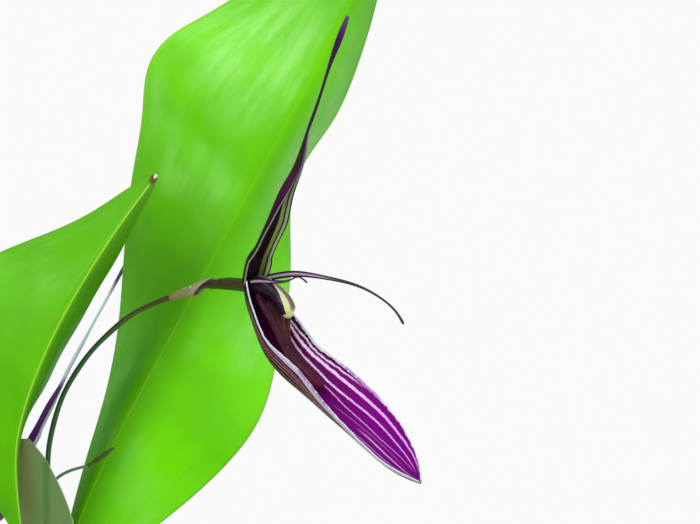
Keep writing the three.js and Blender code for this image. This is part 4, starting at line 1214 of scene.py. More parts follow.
def pot_skin():
    """The pot: a turned wall with a stepped rim, uneven by throwing marks."""
    rim_foot = POT_HEIGHT - POT_RIM_HEIGHT
    rim_radius = POT_RIM_RADIUS - POT_RIM_TAPER
    corners = [
        [HUB_RADIUS, 0], [POT_BASE_RADIUS, 0], [rim_radius - POT_RIM_STEP, rim_foot], [rim_radius, rim_foot],
        [POT_RIM_RADIUS, POT_HEIGHT], [inner_radius(POT_HEIGHT), POT_HEIGHT],
        [inner_radius(POT_FLOOR), POT_FLOOR], [HUB_RADIUS, POT_FLOOR],
    ]
    rings = turned(rounded_profile(corners, POT_FILLETS, POT_SPACING), POT_COLUMNS)
    marks = np.sin(2 * np.pi * rings[..., 2] / THROWING_PITCH + 0.8 * ripples(rings, 30, 5))
    uneven = THROWING_DEPTH * marks + POT_UNEVEN * ripples(rings, 24, 6)
    uneven = uneven * between(rings[..., 2], 1, 5)
    rings[..., :2] *= 1 + (uneven / np.maximum(np.hypot(rings[..., 0], rings[..., 1]), 1))[..., None]
    return loft(rings)


def drain_cutters():
    """Rods through the pot's floor where its drain holes are."""
    turns = 2 * np.pi * (np.arange(DRAIN_COUNT)[:, None] + 0.5) / DRAIN_COUNT
    heights = np.linspace(-POT_FLOOR, 2 * POT_FLOOR, 3)
    line = np.stack(
        np.broadcast_arrays(DRAIN_RING * np.cos(turns), DRAIN_RING * np.sin(turns), heights), axis=-1)
    radii = np.full(line.shape[:2], float(DRAIN_RADIUS))
    return tube(line, radii, radii, DRAIN_COLUMNS, ALONG_X)


def cut_away(piece, cutter):
    """Takes the cutter's shape out of a piece for good."""
    modifier = piece.modifiers.new("Drains", "BOOLEAN")
    modifier.operation = "DIFFERENCE"
    modifier.solver = "EXACT"
    modifier.object = cutter
    whole = piece.data
    piece.data = bpy.data.meshes.new_from_object(piece.evaluated_get(bpy.context.evaluated_depsgraph_get()))
    piece.modifiers.clear()
    bpy.data.meshes.remove(whole)
    bpy.data.objects.remove(cutter)


MOSS_ROWS = 62
MOSS_COLUMNS = 168
MOSS_CLEARANCE = 0.5
MOSS_FOOT = POT_FLOOR + 0.3

# Lumps of the moss: height, length and seed
MOSS_LUMPS = [(0.45, 5, 11), (0.3, 2.2, 12)]


def moss_bed_skin():
    """The moss's body: a plug that fills the pot, with a lumpy top."""
    foot = inner_radius(MOSS_FOOT) - MOSS_CLEARANCE
    top = inner_radius(MOSS_EDGE_HEIGHT) - MOSS_CLEARANCE
    floor = np.array([[HUB_RADIUS, MOSS_FOOT], [foot * 0.5, MOSS_FOOT]])
    wall = np.array([[foot, MOSS_FOOT], [top, MOSS_EDGE_HEIGHT]])
    shares = np.linspace(1, 0.01, MOSS_ROWS)[1:, None]
    crown = shares * [top, 0] + [0, MOSS_EDGE_HEIGHT]
    rings = turned(np.concatenate([floor, wall, crown]), MOSS_COLUMNS)
    on_top = slice(len(floor) + len(wall), None)
    x, y = rings[on_top, :, 0], rings[on_top, :, 1]
    fade = between(1 - np.hypot(x, y) / top, 0, 0.08)
    lumps = sum(height * ripples(rings[on_top], size, seed) for height, size, seed in MOSS_LUMPS)
    rings[on_top, :, 2] = moss_height(x, y) + (lumps - 0.5) * fade
    return loft(rings, tint=0.16 + 0.06 * ripples(rings, 6, 13))


# Strands on the moss: how far from its edge they keep, and the ranges of their length, their lift over the
# moss, their wave to the side, tint and radius. Then the heads' leaflets, with their slopes in radians.
STRAND_SEED = 21
STRAND_ROWS = 7
STRAND_INSET = 3.4
STRAND_LENGTHS = (5, 12)
STRAND_LIFTS = (0.3, 1.7)
STRAND_WAVES = (-1.4, 1.4)
STRAND_TINTS = (0.22, 1)
STRAND_RADII = (0.16, 0.3)
HEAD_SEED = 22
HEAD_LEAFLETS = 11
HEAD_ROWS = 5
HEAD_INSET = 4.5
HEAD_TINTS = (0.5, 1)
LEAFLET_LENGTHS = (1.1, 2.1)
LEAFLET_SLOPES = (0.2, 1.2)
LEAFLET_HALF_WIDTH = 0.3
WHOLE_TURN = (0, 2 * np.pi)


def headed(radius, angle, heading, forward, sideways):
    """Where steps forward and sideways along a heading lead from a place at a radius and an angle."""
    x = (radius * np.cos(angle))[:, None] + forward * np.cos(heading)[:, None]
    y = (radius * np.sin(angle))[:, None] + forward * np.sin(heading)[:, None]
    return x - sideways * np.sin(heading)[:, None], y + sideways * np.cos(heading)[:, None]


def moss_strand_skin(count):
    """Loose strands on the moss: each an arch along a random heading, which waves sideways a little.

    Its height over the moss is a low arch, and its radius narrows to both ends.
    """
    draw = np.random.default_rng(STRAND_SEED)
    reach = inner_radius(MOSS_EDGE_HEIGHT) - STRAND_INSET
    radius = reach * np.sqrt(draw.uniform(0, 1, count))
    angle = draw.uniform(*WHOLE_TURN, count)
    heading = draw.uniform(*WHOLE_TURN, count)
    length = draw.uniform(*STRAND_LENGTHS, count)
    lift = draw.uniform(*STRAND_LIFTS, count)
    wave = draw.uniform(*STRAND_WAVES, count)
    tint = draw.uniform(*STRAND_TINTS, count)
    share = np.linspace(0, 1, STRAND_ROWS)
    sideways = wave[:, None] * np.sin(share * np.pi * 1.6)
    x, y = headed(radius, angle, heading, (share - 0.5) * length[:, None], sideways)
    shrink = np.minimum(1, (reach + 2.2) / np.maximum(np.hypot(x, y), 1e-6))
    x, y = x * shrink, y * shrink
    arch = np.sin(np.pi * share) * lift[:, None] - 0.35
    line = np.stack([x, y, moss_height(x, y) + arch], axis=-1)
    radii = draw.uniform(*STRAND_RADII, count)[:, None] * (0.35 + 0.65 * np.sin(np.pi * share))
    return tube(line, radii, radii * 0.7, 4, UPWARDS, tint=tint[:, None, None])


def moss_head_skin(count):
    """Star-shaped heads: leaflets that rise from one point and droop outwards, each on its own heading."""
    draw = np.random.default_rng(HEAD_SEED)
    reach = inner_radius(MOSS_EDGE_HEIGHT) - HEAD_INSET
    radius = np.repeat(reach * np.sqrt(draw.uniform(0, 1, count)), HEAD_LEAFLETS)
    angle = np.repeat(draw.uniform(*WHOLE_TURN, count), HEAD_LEAFLETS)
    tint = np.repeat(draw.uniform(*HEAD_TINTS, count), HEAD_LEAFLETS)
    total = count * HEAD_LEAFLETS
    heading = draw.uniform(*WHOLE_TURN, total)
    length = draw.uniform(*LEAFLET_LENGTHS, total)[:, None]
    steep = draw.uniform(*LEAFLET_SLOPES, total)[:, None]
    share = np.linspace(0, 1, HEAD_ROWS)
    x, y = headed(radius, angle, heading, length * share * np.cos(steep), 0)
    up = length * (share * np.sin(steep) - 0.35 * share**2)
    line = np.stack([x, y, moss_height(x, y) + 0.15 + up], axis=-1)
    widths = LEAFLET_HALF_WIDTH * np.sin(np.pi * (0.15 + 0.8 * share)) * np.ones((total, 1))
    return tube(line, widths, widths * 0.3, 4, UPWARDS, tint=tint[:, None, None])


def rhizome_points():
    """The rhizome's path, a little above the moss."""
    plan = np.array(RHIZOME_PLAN, float)
    return np.column_stack([plan, moss_height(plan[:, 0], plan[:, 1]) + RHIZOME_LIFT])


def rhizome_skin():
    """The rhizome: a domed rod with a ring at every joint, where an old sheath was."""
    points = rhizome_points()
    rows, columns = ROD_GRIDS["rhizome"]
    shares = eased(rows)
    line = even_path(points, shares)
    joints = np.mod(shares * RHIZOME_JOINTS, 1)
    radii = RHIZOME_RADIUS * domed(shares, length_of(points), RHIZOME_RADIUS)
    radii = radii * (0.9 + 0.1 * joints + 0.07 * ripples(line, 2.5, 31))
    return tube(line, radii, radii, columns, UPWARDS, along=shares)


def root_skin(number):
    """A root: a domed rod over the moss, and one that hangs over the pot's rim."""
    if number <= len(ROOTS):
        plan = np.array(ROOTS[number - 1], float)
        points = np.column_stack([plan[:, :2], moss_height(plan[:, 0], plan[:, 1]) + plan[:, 2]])
    else:
        run = np.array(RIM_ROOT, float)
        flat = run[:, :1] * [math.cos(RIM_ROOT_AZIMUTH), math.sin(RIM_ROOT_AZIMUTH)]
        points = np.column_stack([flat, run[:, 1]])
    return rod(points, ROOT_RADIUS, *ROD_GRIDS["root"], relief=0.06, relief_size=4, seed=40 + number)


# Shoots

MIDRIB_STEPS = 6
LEAF_ROWS = 150
LEAF_HALF_COLUMNS = 44
LEAF_CURL = math.radians(10)
LEAF_SWELL = 0.008


def leaning_line(base, azimuth, leans, length):
    """The midrib of a plain leaf: equal steps whose lean from the vertical changes evenly."""
    lean = np.radians(np.interp((np.arange(MIDRIB_STEPS) + 0.5) / MIDRIB_STEPS, [0, 1], leans))
    step = length / MIDRIB_STEPS
    out = np.concatenate([[0], np.cumsum(step * np.sin(lean))])
    up = np.concatenate([[0], np.cumsum(step * np.cos(lean))])
    turn = math.radians(azimuth)
    return np.array(base, float) + np.stack([out * math.cos(turn), out * math.sin(turn), up], axis=-1)


def leaf_of(shoot):
    """A shoot's leaf: its own outline, or a plain one that leans towards the shoot's azimuth."""
    if "leaf" in shoot:
        return shoot["leaf"]
    turn = math.radians(shoot["azimuth"])
    leaf = {
        "line": leaning_line(shoot["apex"], shoot["azimuth"], shoot["leans"], shoot["length"]),
        "facing": [math.cos(turn), math.sin(turn), 0],
        "keel_round": 0.06,
        "keel_shown": PLAIN_KEEL_SHOWN,
        "painted_light_change": [-1, 1],
    }
    for hand in ("left", "right"):
        leaf[f"{hand}_half_widths"] = np.array(PLAIN_HALF_WIDTHS) * shoot["half_width"]
        leaf[f"{hand}_bends"] = PLAIN_BENDS
        leaf[f"{hand}_tones"] = PLAIN_TONES
    return leaf


# Shares across a leaf's half, which crowd towards its keel
HALF_SHARES = np.linspace(0, 1, LEAF_HALF_COLUMNS + 1) ** 1.5


def half_section(bends, keel_round):
    """How far each point of a leaf's half lies sideways and backwards, in half widths.

    It is the running sum of the cosine and sine of the slope, which grows from 0 at the keel to the bend
    with one minus an exponential, and curls by a little more towards the margin.
    """
    share = (HALF_SHARES[1:] + HALF_SHARES[:-1]) / 2
    opened = 1 - np.exp(-share / keel_round)
    slope = np.radians(bends) * opened + LEAF_CURL * (2 * share - 1) * opened
    start = np.zeros((len(bends), 1))
    step = np.diff(HALF_SHARES)
    sideways = np.concatenate([start, np.cumsum(np.cos(slope) * step, axis=1)], axis=1)
    backwards = np.concatenate([start, np.cumsum(np.sin(slope) * step, axis=1)], axis=1)
    return sideways, backwards


def of_both(leaf, name, along):
    """What a leaf holds under a name for its left half and for its right half, one row for each place."""
    return [smooth(leaf[f"{hand}_{name}"], along)[:, None] for hand in ("left", "right")]


def leaf_skin(leaf, sizes, seed):
    """A folded leaf: its midrib, plus half width times the halves' sections, with soft waves."""
    along = np.linspace(0, 1, LEAF_ROWS)
    line = smooth(leaf["line"], along)
    direction = unit(np.gradient(line, axis=0))
    facing = np.array(leaf["facing"], float)
    outward = unit(facing - (direction @ facing)[:, None] * direction)
    right = np.cross(direction, outward)
    (left_side, left_back), (right_side, right_back) = [
        half_section(bends, leaf["keel_round"]) for bends in of_both(leaf, "bends", along)]
    sideways = np.concatenate([-left_side[:, :0:-1], right_side], axis=1)
    backwards = np.concatenate([left_back[:, :0:-1], right_back], axis=1)
    across = np.concatenate([-HALF_SHARES[:0:-1], HALF_SHARES])
    half_width = np.where(across < 0, *of_both(leaf, "half_widths", along))
    swell = LEAF_SWELL * ripples(line, 16, seed)[:, None] * np.abs(across) ** 4
    wide = half_width * (1 + swell)
    grid = line[:, None] + (wide * sideways)[..., None] * right[:, None]
    grid = grid - (wide * backwards)[..., None] * outward[:, None]
    open_part = between(half_width, 1, 6) * np.abs(across) ** 0.5
    waves = sizes.leaf_waves * PER_MM * (ripples(grid, 20, seed + 1) + 0.3 * ripples(grid, 7, seed + 2))
    grid = grid + (waves * open_part)[..., None] * outward[:, None]
    edge = sizes.leaf_edge * PER_MM
    body = sizes.leaf_thickness * PER_MM
    thickness = edge + (body - edge) * np.sqrt(1 - across**6)
    thickness = thickness * (0.4 + 0.6 * between(np.abs(across) * half_width, 0, 1))
    keel_shown = smooth(leaf["keel_shown"], along)[:, None] * np.ones_like(half_width)
    # Painted light and shade: each half's brightness factor, changing from the left one to the right one near
    # the keel
    left_tone_and_painted_light, right_tone_and_painted_light = of_both(leaf, "tones", along)
    tone = left_tone_and_painted_light + (right_tone_and_painted_light - left_tone_and_painted_light) * between(across * half_width, *leaf["painted_light_change"])
    return sheet(
        grid, thickness, across, along, upper_in_front=False, inner_share=1.0, width=half_width,
        keel=keel_shown, tone=tone)


def stem_points(shoot):
    """A stem from the rhizome to its leaf: it leans at first, and ends in line with the leaf's midrib."""
    foot = smooth(rhizome_points(), np.array([shoot["foot"]]))[0] + [0, 0, RHIZOME_RADIUS - STEM_OVERLAP]
    rising = unit(np.diff(smooth(leaf_of(shoot)["line"], np.array([0, 0.02])), axis=0)[0])
    apex = np.array(shoot["apex"]) + STEM_OVERLAP * rising
    below = apex - STEM_STRAIGHT_TOP * rising
    knee = foot + 0.4 * (below - foot) + [0, 0, 1]
    return np.array([foot, knee, below, apex])


# Swellings of a stem: share of its radius, place along it and width
STEM_SWELLINGS = [(0.25, 0, 0.05), (0.22, 0.965, 0.02)]
STEM_FLATNESS = 0.9


def stem_skin(shoot, seed):
    """A stem: a slender rod that swells a little at its foot and at its top, where the leaf begins."""
    points = stem_points(shoot)
    rows, columns = ROD_GRIDS["stem"]
    shares = eased(rows)
    line = even_path(points, shares)
    swell = 1
    for size, place, width in STEM_SWELLINGS:
        swell = swell + size * np.exp(-(((shares - place) / width) ** 2))
    radii = STEM_RADIUS * swell * domed(shares, length_of(points), STEM_RADIUS)
    radii = radii * (1 + 0.03 * ripples(line, 4, seed))
    return tube(line, radii, radii * STEM_FLATNESS, columns, plane_normal(points), along=shares)


def sleeves_skin(points, starts, ends, cut, seed):
    """Open sleeves round a path: a closed shell each, whose rings go up the outside and down the inside.

    A point's share of the path runs from the sleeve's start to its end, less where the mouth slants away.
    Its distance from the path is the radius plus the flare times the share squared, wider by flat on one
    axis. Sleeves on a path turn to one side and the other by turns, and their mouths ripple.
    """
    starts = np.asarray(starts, float)[:, None, None]
    ends = np.asarray(ends, float)[:, None, None]
    share = np.linspace(0, 1, SLEEVE_ROWS)[:, None]
    angle = (np.arange(SLEEVE_COLUMNS) * 2 * np.pi / SLEEVE_COLUMNS)[None]
    turn = (np.arange(len(starts)) * np.pi)[:, None, None]
    pointed = ((1 - np.cos(angle - turn)) / 2) ** 0.8
    place = starts + (ends - starts) * share * (1 - cut["slant"] * pointed)
    centre = even_path(points, place.ravel()).reshape(*place.shape, 3)
    near = np.clip(place + np.array([0.01, -0.01]).reshape(2, 1, 1, 1), 0, 1)
    ahead, behind = even_path(points, near.ravel()).reshape(*near.shape, 3)
    direction = unit(ahead - behind)
    side = unit(np.cross(direction, plane_normal(points)))
    up = np.cross(direction, side)
    draw = np.random.default_rng(seed)
    phase = draw.uniform(0, 2 * np.pi, (len(starts), 1, 1))
    ripple = 1 + 0.05 * share**2 * np.sin(3 * angle + phase)
    shells = []
    for depth in (cut["paper"], 0.0):
        out = (cut["radius"] + depth + cut["flare"] * share**2) * ripple
        wide = out * (1 + (cut["flat"] - 1) * np.sqrt(share))
        ring = (wide * np.cos(angle))[..., None] * side + (out * np.sin(angle))[..., None] * up
        shells.append(centre + ring)
    up_and_down = np.concatenate([np.linspace(0, 1, SLEEVE_ROWS), np.linspace(1, 0, SLEEVE_ROWS)])
    return loft(np.concatenate([shells[0], shells[1][:, ::-1]], axis=1), along=up_and_down, wrapped=True)


def sheath_skin(shoot, count, seed):
    """The papery sheaths of one stem: sleeves that overlap, each with a slanting mouth."""
    points = stem_points(shoot)
    step = (SHEATH_TO - SHEATH_FROM) / count
    starts = SHEATH_FROM + step * np.arange(count)
    ends = np.minimum(starts + step * SHEATH_OVERLAP, SHEATH_TO + 0.02)
    return sleeves_skin(points, starts, ends, SHEATH, seed)


# Flowers

# What an outline of a blade holds where it doesn't say otherwise
PLAIN_BLADE = {
    "right_shares": [1, 1],
    "swelling": [1, 1],
    "power": 1.8,
    "ragged": 0.0,
    "seed": 1,
    "inner_share": 0.5,
}


def channel_skin(outline, side, thickness):
    """A channelled blade: line + across times half width sideways + |across| to a power times depth upwards.

    Its columns crowd towards the margins. Its right half's depth is multiplied by the right shares, and its
    thickness by the swelling, both at even stations. Its margins are ragged by a share of the half width.
    """
    outline = {**PLAIN_BLADE, **outline}
    along = np.linspace(0, 1, outline["rows"])
    across = np.sin(np.linspace(-1, 1, outline["columns"]) * np.pi / 2)
    line = smooth(outline["line"], along)
    rise = unit(np.cross(unit(np.gradient(line, axis=0)), side)) * outline["opening"]
    half_width = smooth(outline["half_widths"], along)[:, None]
    right_share = smooth(outline["right_shares"], along)[:, None]
    depth = smooth(outline["depths"], along)[:, None] * np.where(across < 0, right_share, 1)
    flat = line[:, None] + (half_width * across)[..., None] * side
    fray = outline["ragged"] * ripples(flat, 1.1, outline["seed"]) * np.abs(across) ** 10
    grid = line[:, None] + (half_width * across * (1 + fray))[..., None] * side
    grid = grid + (depth * np.abs(across) ** outline["power"])[..., None] * rise[:, None]
    profile = outline["edge"] + (thickness - outline["edge"]) * np.sqrt(1 - across**4)
    profile = profile * smooth(outline["swelling"], along)[:, None]
    return sheet(grid, profile, across, along, outline["opening"] < 0, outline["inner_share"])


def synsepal_skin(sizes):
    """The two joined side sepals: a long boat with thin, slightly ragged margins."""
    return channel_skin(SYNSEPAL, ALONG_Y, sizes.sepal_thickness * PER_MM * SYNSEPAL_THINNER)


def dorsal_skin(sizes, hood):
    """The dorsal sepal: a hood of the given share of its full width, a narrow fold, a thread and a club.

    The value named clear is 1 on a flower whose hood is partly shut, and 0 on the open one.
    """
    widths = np.array(DORSAL_SEPAL["half_widths"])
    outline = {
        **DORSAL_SEPAL,
        "half_widths": np.minimum(widths, np.maximum(widths * hood, HOOD_FOLD)),
        "depths": np.array(DORSAL_SEPAL["depths"]) * hood,
    }
    skin = channel_skin(outline, ALONG_Y, sizes.sepal_thickness * PER_MM)
    skin.values["clear"] = np.full(len(skin.points), 1.0 if hood < 1 else 0.0)
    return skin


def lip_skin(sizes):
    """The lip: a thick, warty tongue with raised edges near its base."""
    return channel_skin(LIP, ALONG_Y, sizes.lip_thickness * PER_MM)


def petal_skin(petal):
    """A petal: a flat, striped base that narrows to a thread and ends in a tiny club."""
    turn = math.radians(petal["spread"])
    run = np.array(petal["steps"], float)
    points = np.column_stack([
        PETAL_ROOT[0] + run[:, 0] * math.cos(turn),
        petal["hand"] * (PETAL_ROOT[1] + run[:, 0] * math.sin(turn)),
        run[:, 1],
    ])
    rows, columns = ROD_GRIDS["petal"]
    shares = eased(rows)
    line = even_path(points, shares)
    ends = domed(shares, length_of(points), PETAL_END)
    widths = smooth(petal["widths"], shares) * ends
    heights = smooth(petal["heights"], shares) * ends
    return tube(line, widths, heights, columns, UPWARDS, along=shares)


def column_skin():
    """The column: a club that arches forwards and down, with a domed tip."""
    rows, columns = ROD_GRIDS["column"]
    shares = eased(rows)
    line = even_path(COLUMN["line"], shares)
    radii = smooth(COLUMN["radii"], shares) * domed(shares, length_of(COLUMN["line"]), COLUMN["dome"])
    return tube(line, radii, radii, columns, ALONG_Y, along=shares)


def anther_skin():
    """The anther cap: a small domed cap on the column's tip."""
    return rod(**ANTHER)


def ovary_skin(points):
    """The ovary: a club with shallow ribs, widest at the flower and narrowest at the stalk."""
    rows, columns = ROD_GRIDS["ovary"]
    shares = eased(rows)
    line = even_path(points, shares * (OVARY_LENGTH + OVARY_OVERLAP) / length_of(points))
    radii = smooth(OVARY_RADII, shares) * domed(shares, OVARY_LENGTH, 0.3)
    return tube(line, radii, radii, columns, plane_normal(points), along=shares, ribs=OVARY_RIBS)


def stalk_skin(points, radius, seed, start=0.0):
    """A flower's stalk: a slender rod, uneven by a little, from a share of its path to its end."""
    return rod(points, radius, *ROD_GRIDS["stalk"], start=start, relief=0.07, relief_size=4, seed=seed)


def floral_bract_skin(points):
    """The floral bract: one papery sleeve round the stalk's end, with a long slanting mouth."""
    length = length_of(points)
    start = (OVARY_LENGTH + BRACT_LENGTH) / length
    end = (OVARY_LENGTH - BRACT_OVERLAP) / length
    return sleeves_skin(points, [start], [end], FLORAL_BRACT, seed=61)


# Studio

# Places in metres: the camera, the middle of the plant that the lamps are turned to, and each lamp's size
# and place
CAMERA_PLACE = (0.03, -0.35, 0.14)
CAMERA_LENS = 180
CAMERA_SENSOR = 36
AIM = Vector((0.012, 0.0, 0.125))
LAMPS = {
    "key": (0.45, (-0.34, -0.36, 0.5)),
    "fill": (0.4, (0.5, -0.42, 0.2)),
    "back": (0.4, (0.3, 0.6, 0.42)),
}

# The floor's radius and thickness in millimetres and its columns, and the share of its light that the room
# keeps from reflections
FLOOR_RADIUS = 1300
FLOOR_THICKNESS = 2
FLOOR_COLUMNS = 96
REFLECTION_DIMMED = 0.8


def add_camera(context):
    """A level camera 350 mm in front of the flower, whose frame is 70 mm wide at the flower."""
    data = bpy.data.cameras.new("camera")
    data.lens = CAMERA_LENS
    data.sensor_width = CAMERA_SENSOR
    data.clip_start = 0.01
    data.clip_end = 20
    camera = bpy.data.objects.new("camera", data)
    camera.location = CAMERA_PLACE
    camera.rotation_euler = (math.pi / 2, 0, 0)
    context.scene.collection.objects.link(camera)
    context.scene.camera = camera


def add_floor():
    """A plain disc that the pot stands on, with painted shade: greyer round the pot and near-white further
    out.
    """
    made = Finish("floor", 0.8)
    around = made.mix(made.noise(90), grey(0.86), grey(0.9))
    # Painted shade: greyer within about 150 mm of the pot, fading to near-white by about 650 mm from it
    pale = made.mix(made.near((0, 0, 0), 150, 500), grey(0.99), around)
    material = made.done(pale, made.noise(0.6, 4), 0.02)
    under, top = -FLOOR_THICKNESS, 0
    corners = [[HUB_RADIUS, under], [FLOOR_RADIUS, under], [FLOOR_RADIUS, top], [HUB_RADIUS, top]]
    rings = turned(rounded_profile(corners, [0.5, 0.5], 100), FLOOR_COLUMNS)
    add_mesh("floor", loft(rings), material)


def add_room(context, ambient):
    """A room whose walls look near-white. It lights the plant evenly and shines little in its gloss."""
    world = bpy.data.worlds.new("room")
    context.scene.world = world
    world.use_nodes = True
    nodes = world.node_tree.nodes
    link = world.node_tree.links.new
    shown = nodes["Background"]
    shown.inputs["Color"].default_value = linear(250, 250, 250)
    lighting = nodes.new("ShaderNodeBackground")
    lighting.inputs["Color"].default_value = linear(250, 252, 255)
    seen = nodes.new("ShaderNodeLightPath")
    dimmed = nodes.new("ShaderNodeMath")
    dimmed.operation = "MULTIPLY_ADD"
    dimmed.inputs[1].default_value = -ambient * REFLECTION_DIMMED
    dimmed.inputs[2].default_value = ambient
    choice = nodes.new("ShaderNodeMixShader")
    link(seen.outputs["Is Glossy Ray"], dimmed.inputs[0])
    link(dimmed.outputs[0], lighting.inputs["Strength"])
    link(seen.outputs["Is Camera Ray"], choice.inputs[0])
    link(lighting.outputs[0], choice.inputs[1])
    link(shown.outputs[0], choice.inputs[2])
    link(choice.outputs[0], nodes["World Output"].inputs["Surface"])
    context.scene.view_settings.view_transform = "Standard"
    context.scene.view_settings.look = "None"


def add_lamp(context, name, power, size, place):
    """A square soft lamp turned towards the plant."""
    data = bpy.data.lights.new(name, "AREA")
    data.energy = power
    data.size = size
    lamp = bpy.data.objects.new(name, data)
    lamp.location = place
    lamp.rotation_euler = (AIM - Vector(place)).to_track_quat("-Z", "Y").to_euler()
    context.scene.collection.objects.link(lamp)


# Operators, one for each piece or group of like pieces

class RESTREPIA_OT_stage(bpy.types.Operator):
    """Camera at the photograph's viewing angle, pale floor, white room and soft lamps"""

    bl_idname = "restrepia.stage"
    bl_label = "Stage"

    def execute(self, context):
        light = context.scene.restrepia_light
        add_camera(context)
        add_floor()
        add_room(context, light.ambient)
        for name, (size, place) in LAMPS.items():
            add_lamp(context, name, getattr(light, name), size, place)
        return {"FINISHED"}


class RESTREPIA_OT_pot(bpy.types.Operator):
    """Terracotta pot with a stepped rim, throwing marks and three drain holes"""

    bl_idname = "restrepia.pot"
    bl_label = "Pot"

    def execute(self, context):
        pot = add_piece("pot", pot_skin(), "terracotta")
        cut_away(pot, add_mesh("drains", drain_cutters(), finish("terracotta")))
        return {"FINISHED"}


class RESTREPIA_OT_moss(bpy.types.Operator):
    """Dried moss that fills the pot: a lumpy bed with loose strands and star-shaped heads"""

    bl_idname = "restrepia.moss"
    bl_label = "Moss"

    def execute(self, context):
        sizes = context.scene.restrepia_sizes
        skin = joined([
            moss_bed_skin(), moss_strand_skin(sizes.moss_strands), moss_head_skin(sizes.moss_heads)])
        add_piece("moss", skin, "moss")
        return {"FINISHED"}


class RESTREPIA_OT_rhizome(bpy.types.Operator):
    """Creeping rhizome, and roots over the moss and the pot's rim"""

    bl_idname = "restrepia.rhizome"
    bl_label = "Rhizome and roots"

    def execute(self, context):
        add_piece("rhizome", rhizome_skin(), "rhizome")
        for number in range(1, len(ROOTS) + 2):
            add_piece(f"root_{number}", root_skin(number), "root")
        return {"FINISHED"}


class RESTREPIA_OT_stems(bpy.types.Operator):
    """Slender stems, each in overlapping papery sheaths"""

    bl_idname = "restrepia.stems"
    bl_label = "Stems and sheaths"

    def execute(self, context):
        count = context.scene.restrepia_sizes.sheath_count
        for number, shoot in enumerate(SHOOTS, 1):
            add_piece(f"ramicaul_{number}", stem_skin(shoot, 70 + number), "stem")
            add_piece(f"sheath_{number}", sheath_skin(shoot, count, 80 + number), "sheath")
        return {"FINISHED"}


class RESTREPIA_OT_leaves(bpy.types.Operator):
    """Folded, keeled leaves, one on each stem"""

    bl_idname = "restrepia.leaves"
    bl_label = "Leaves"

    def execute(self, context):
        sizes = context.scene.restrepia_sizes
        for number, shoot in enumerate(SHOOTS, 1):
            add_piece(f"leaf_{number}", leaf_skin(leaf_of(shoot), sizes, 100 + 10 * number), "leaf")
        return {"FINISHED"}


class RESTREPIA_OT_flowers(bpy.types.Operator):
    """The open flower and the one behind the leaves, part by part"""

    bl_idname = "restrepia.flowers"
    bl_label = "Flowers"

    def execute(self, context):
        sizes = context.scene.restrepia_sizes
        for number, flower in enumerate((OPEN_FLOWER, REAR_FLOWER), 1):
            parts = [
                ("synsepal", synsepal_skin(sizes), "synsepal", "sepal"),
                ("dorsal_sepal", dorsal_skin(sizes, flower["hood"]), "dorsal", "sepal"),
                ("lip", lip_skin(sizes), "lip", "lip"),
                ("left_petal", petal_skin(DROOPING_PETAL), "petal", "petal"),
                ("right_petal", petal_skin(LEVEL_PETAL), "petal", "petal"),
                ("column", column_skin(), "column", "column"),
                ("anther_cap", anther_skin(), "anther", "anther"),
            ]
            for name, skin, finish_name, slot in parts:
                add_piece(f"{name}_{number}", skin.placed(flower), finish_name)
        return {"FINISHED"}


class RESTREPIA_OT_stalks(bpy.types.Operator):
    """Ovary, floral bract and stalk of each flower"""

    bl_idname = "restrepia.stalks"
    bl_label = "Stalks"

    def execute(self, context):
        radius = context.scene.restrepia_sizes.stalk_radius * PER_MM
        for number, points in enumerate((OPEN_FLOWER_STALK, REAR_FLOWER_STALK), 1):
            start = OVARY_LENGTH / length_of(points)
            add_piece(f"ovary_{number}", ovary_skin(points), "ovary")
            add_piece(f"floral_bract_{number}", floral_bract_skin(points), "bract")
            stalk = stalk_skin(points, radius, 90 + number, start)
            add_piece(f"peduncle_{number}", stalk, "stalk")
        return {"FINISHED"}


class RESTREPIA_OT_spathe(bpy.types.Operator):
    """Papery bract round the stalks at the base of the flowering leaf"""

    bl_idname = "restrepia.spathe"
    bl_label = "Spathe"

    def execute(self, context):
        add_piece("spathe", channel_skin(SPATHE, ALONG_X, SPATHE_THICKNESS), "spathe")
        return {"FINISHED"}


class RESTREPIA_OT_old_and_young(bpy.types.Operator):
    """The withered flower on its stalk, and the bud on its stalk"""

    bl_idname = "restrepia.old_and_young"
    bl_label = "Withered flower and bud"

    def execute(self, context):
        radius = context.scene.restrepia_sizes.stalk_radius * PER_MM
        spent_stalk = stalk_skin(SPENT_STALK, radius * SPENT_STALK_SHARE, 95)
        add_piece("spent_peduncle", spent_stalk, "spent_stalk")
        add_piece("spent_flower", rod(**SPENT_FLOWER), "withered")
        add_piece("bud_peduncle", stalk_skin(BUD_STALK, radius, 97), "stalk")
        add_piece("bud", rod(**BUD), "bud")
        return {"FINISHED"}


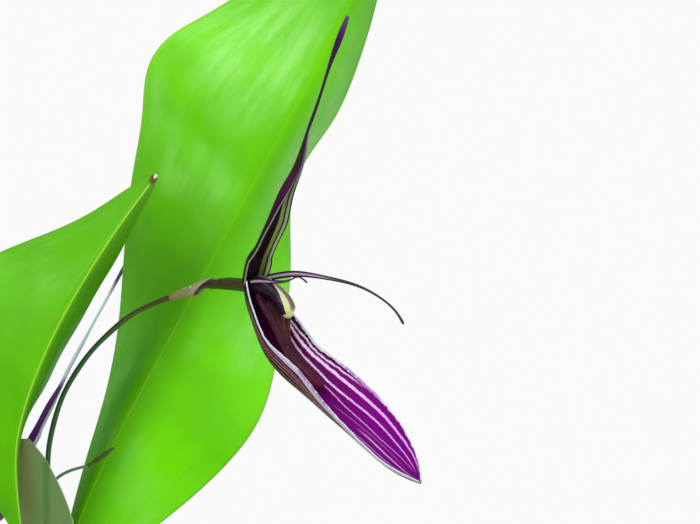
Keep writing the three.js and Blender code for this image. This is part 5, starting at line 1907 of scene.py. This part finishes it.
class RESTREPIA_PT_panel(bpy.types.Panel):
    """Sizes, colours, lamps and the steps that build the plant"""

    bl_label = "Potted Restrepia"
    bl_idname = "RESTREPIA_PT_panel"
    bl_space_type = "VIEW_3D"
    bl_region_type = "UI"
    bl_category = "Restrepia"

    def draw(self, context):
        for step in STEPS:
            self.layout.operator(step.bl_idname)
        for name in PROPERTY_NAMES:
            box = self.layout.box()
            group = getattr(context.scene, name)
            for key in group.bl_rna.properties.keys():
                if key not in ("rna_type", "name"):
                    box.prop(group, key)


STEPS = (
    RESTREPIA_OT_stage, RESTREPIA_OT_pot, RESTREPIA_OT_moss, RESTREPIA_OT_rhizome, RESTREPIA_OT_stems,
    RESTREPIA_OT_leaves, RESTREPIA_OT_flowers, RESTREPIA_OT_stalks, RESTREPIA_OT_spathe,
    RESTREPIA_OT_old_and_young,
)
PROPERTY_GROUPS = (RestrepiaSizes, RestrepiaColours, RestrepiaLight)
PROPERTY_NAMES = ("restrepia_sizes", "restrepia_colours", "restrepia_light")


def register():
    """Makes the groups, steps and panel known to Blender."""
    for group, name in zip(PROPERTY_GROUPS, PROPERTY_NAMES):
        bpy.utils.register_class(group)
        setattr(bpy.types.Scene, name, bpy.props.PointerProperty(type=group))
    for step in STEPS:
        bpy.utils.register_class(step)
    bpy.utils.register_class(RESTREPIA_PT_panel)


def unregister():
    """Takes them away again."""
    bpy.utils.unregister_class(RESTREPIA_PT_panel)
    for step in reversed(STEPS):
        bpy.utils.unregister_class(step)
    for group, name in zip(PROPERTY_GROUPS, PROPERTY_NAMES):
        delattr(bpy.types.Scene, name)
        bpy.utils.unregister_class(group)


def main():
    """Builds the whole plant."""
    register()
    bpy.ops.restrepia.stage()
    bpy.ops.restrepia.pot()
    bpy.ops.restrepia.moss()
    bpy.ops.restrepia.rhizome()
    bpy.ops.restrepia.stems()
    bpy.ops.restrepia.leaves()
    bpy.ops.restrepia.flowers()
    bpy.ops.restrepia.stalks()
    bpy.ops.restrepia.spathe()
    bpy.ops.restrepia.old_and_young()
    bpy.context.view_layer.update()


if __name__ == "__main__":
    main()
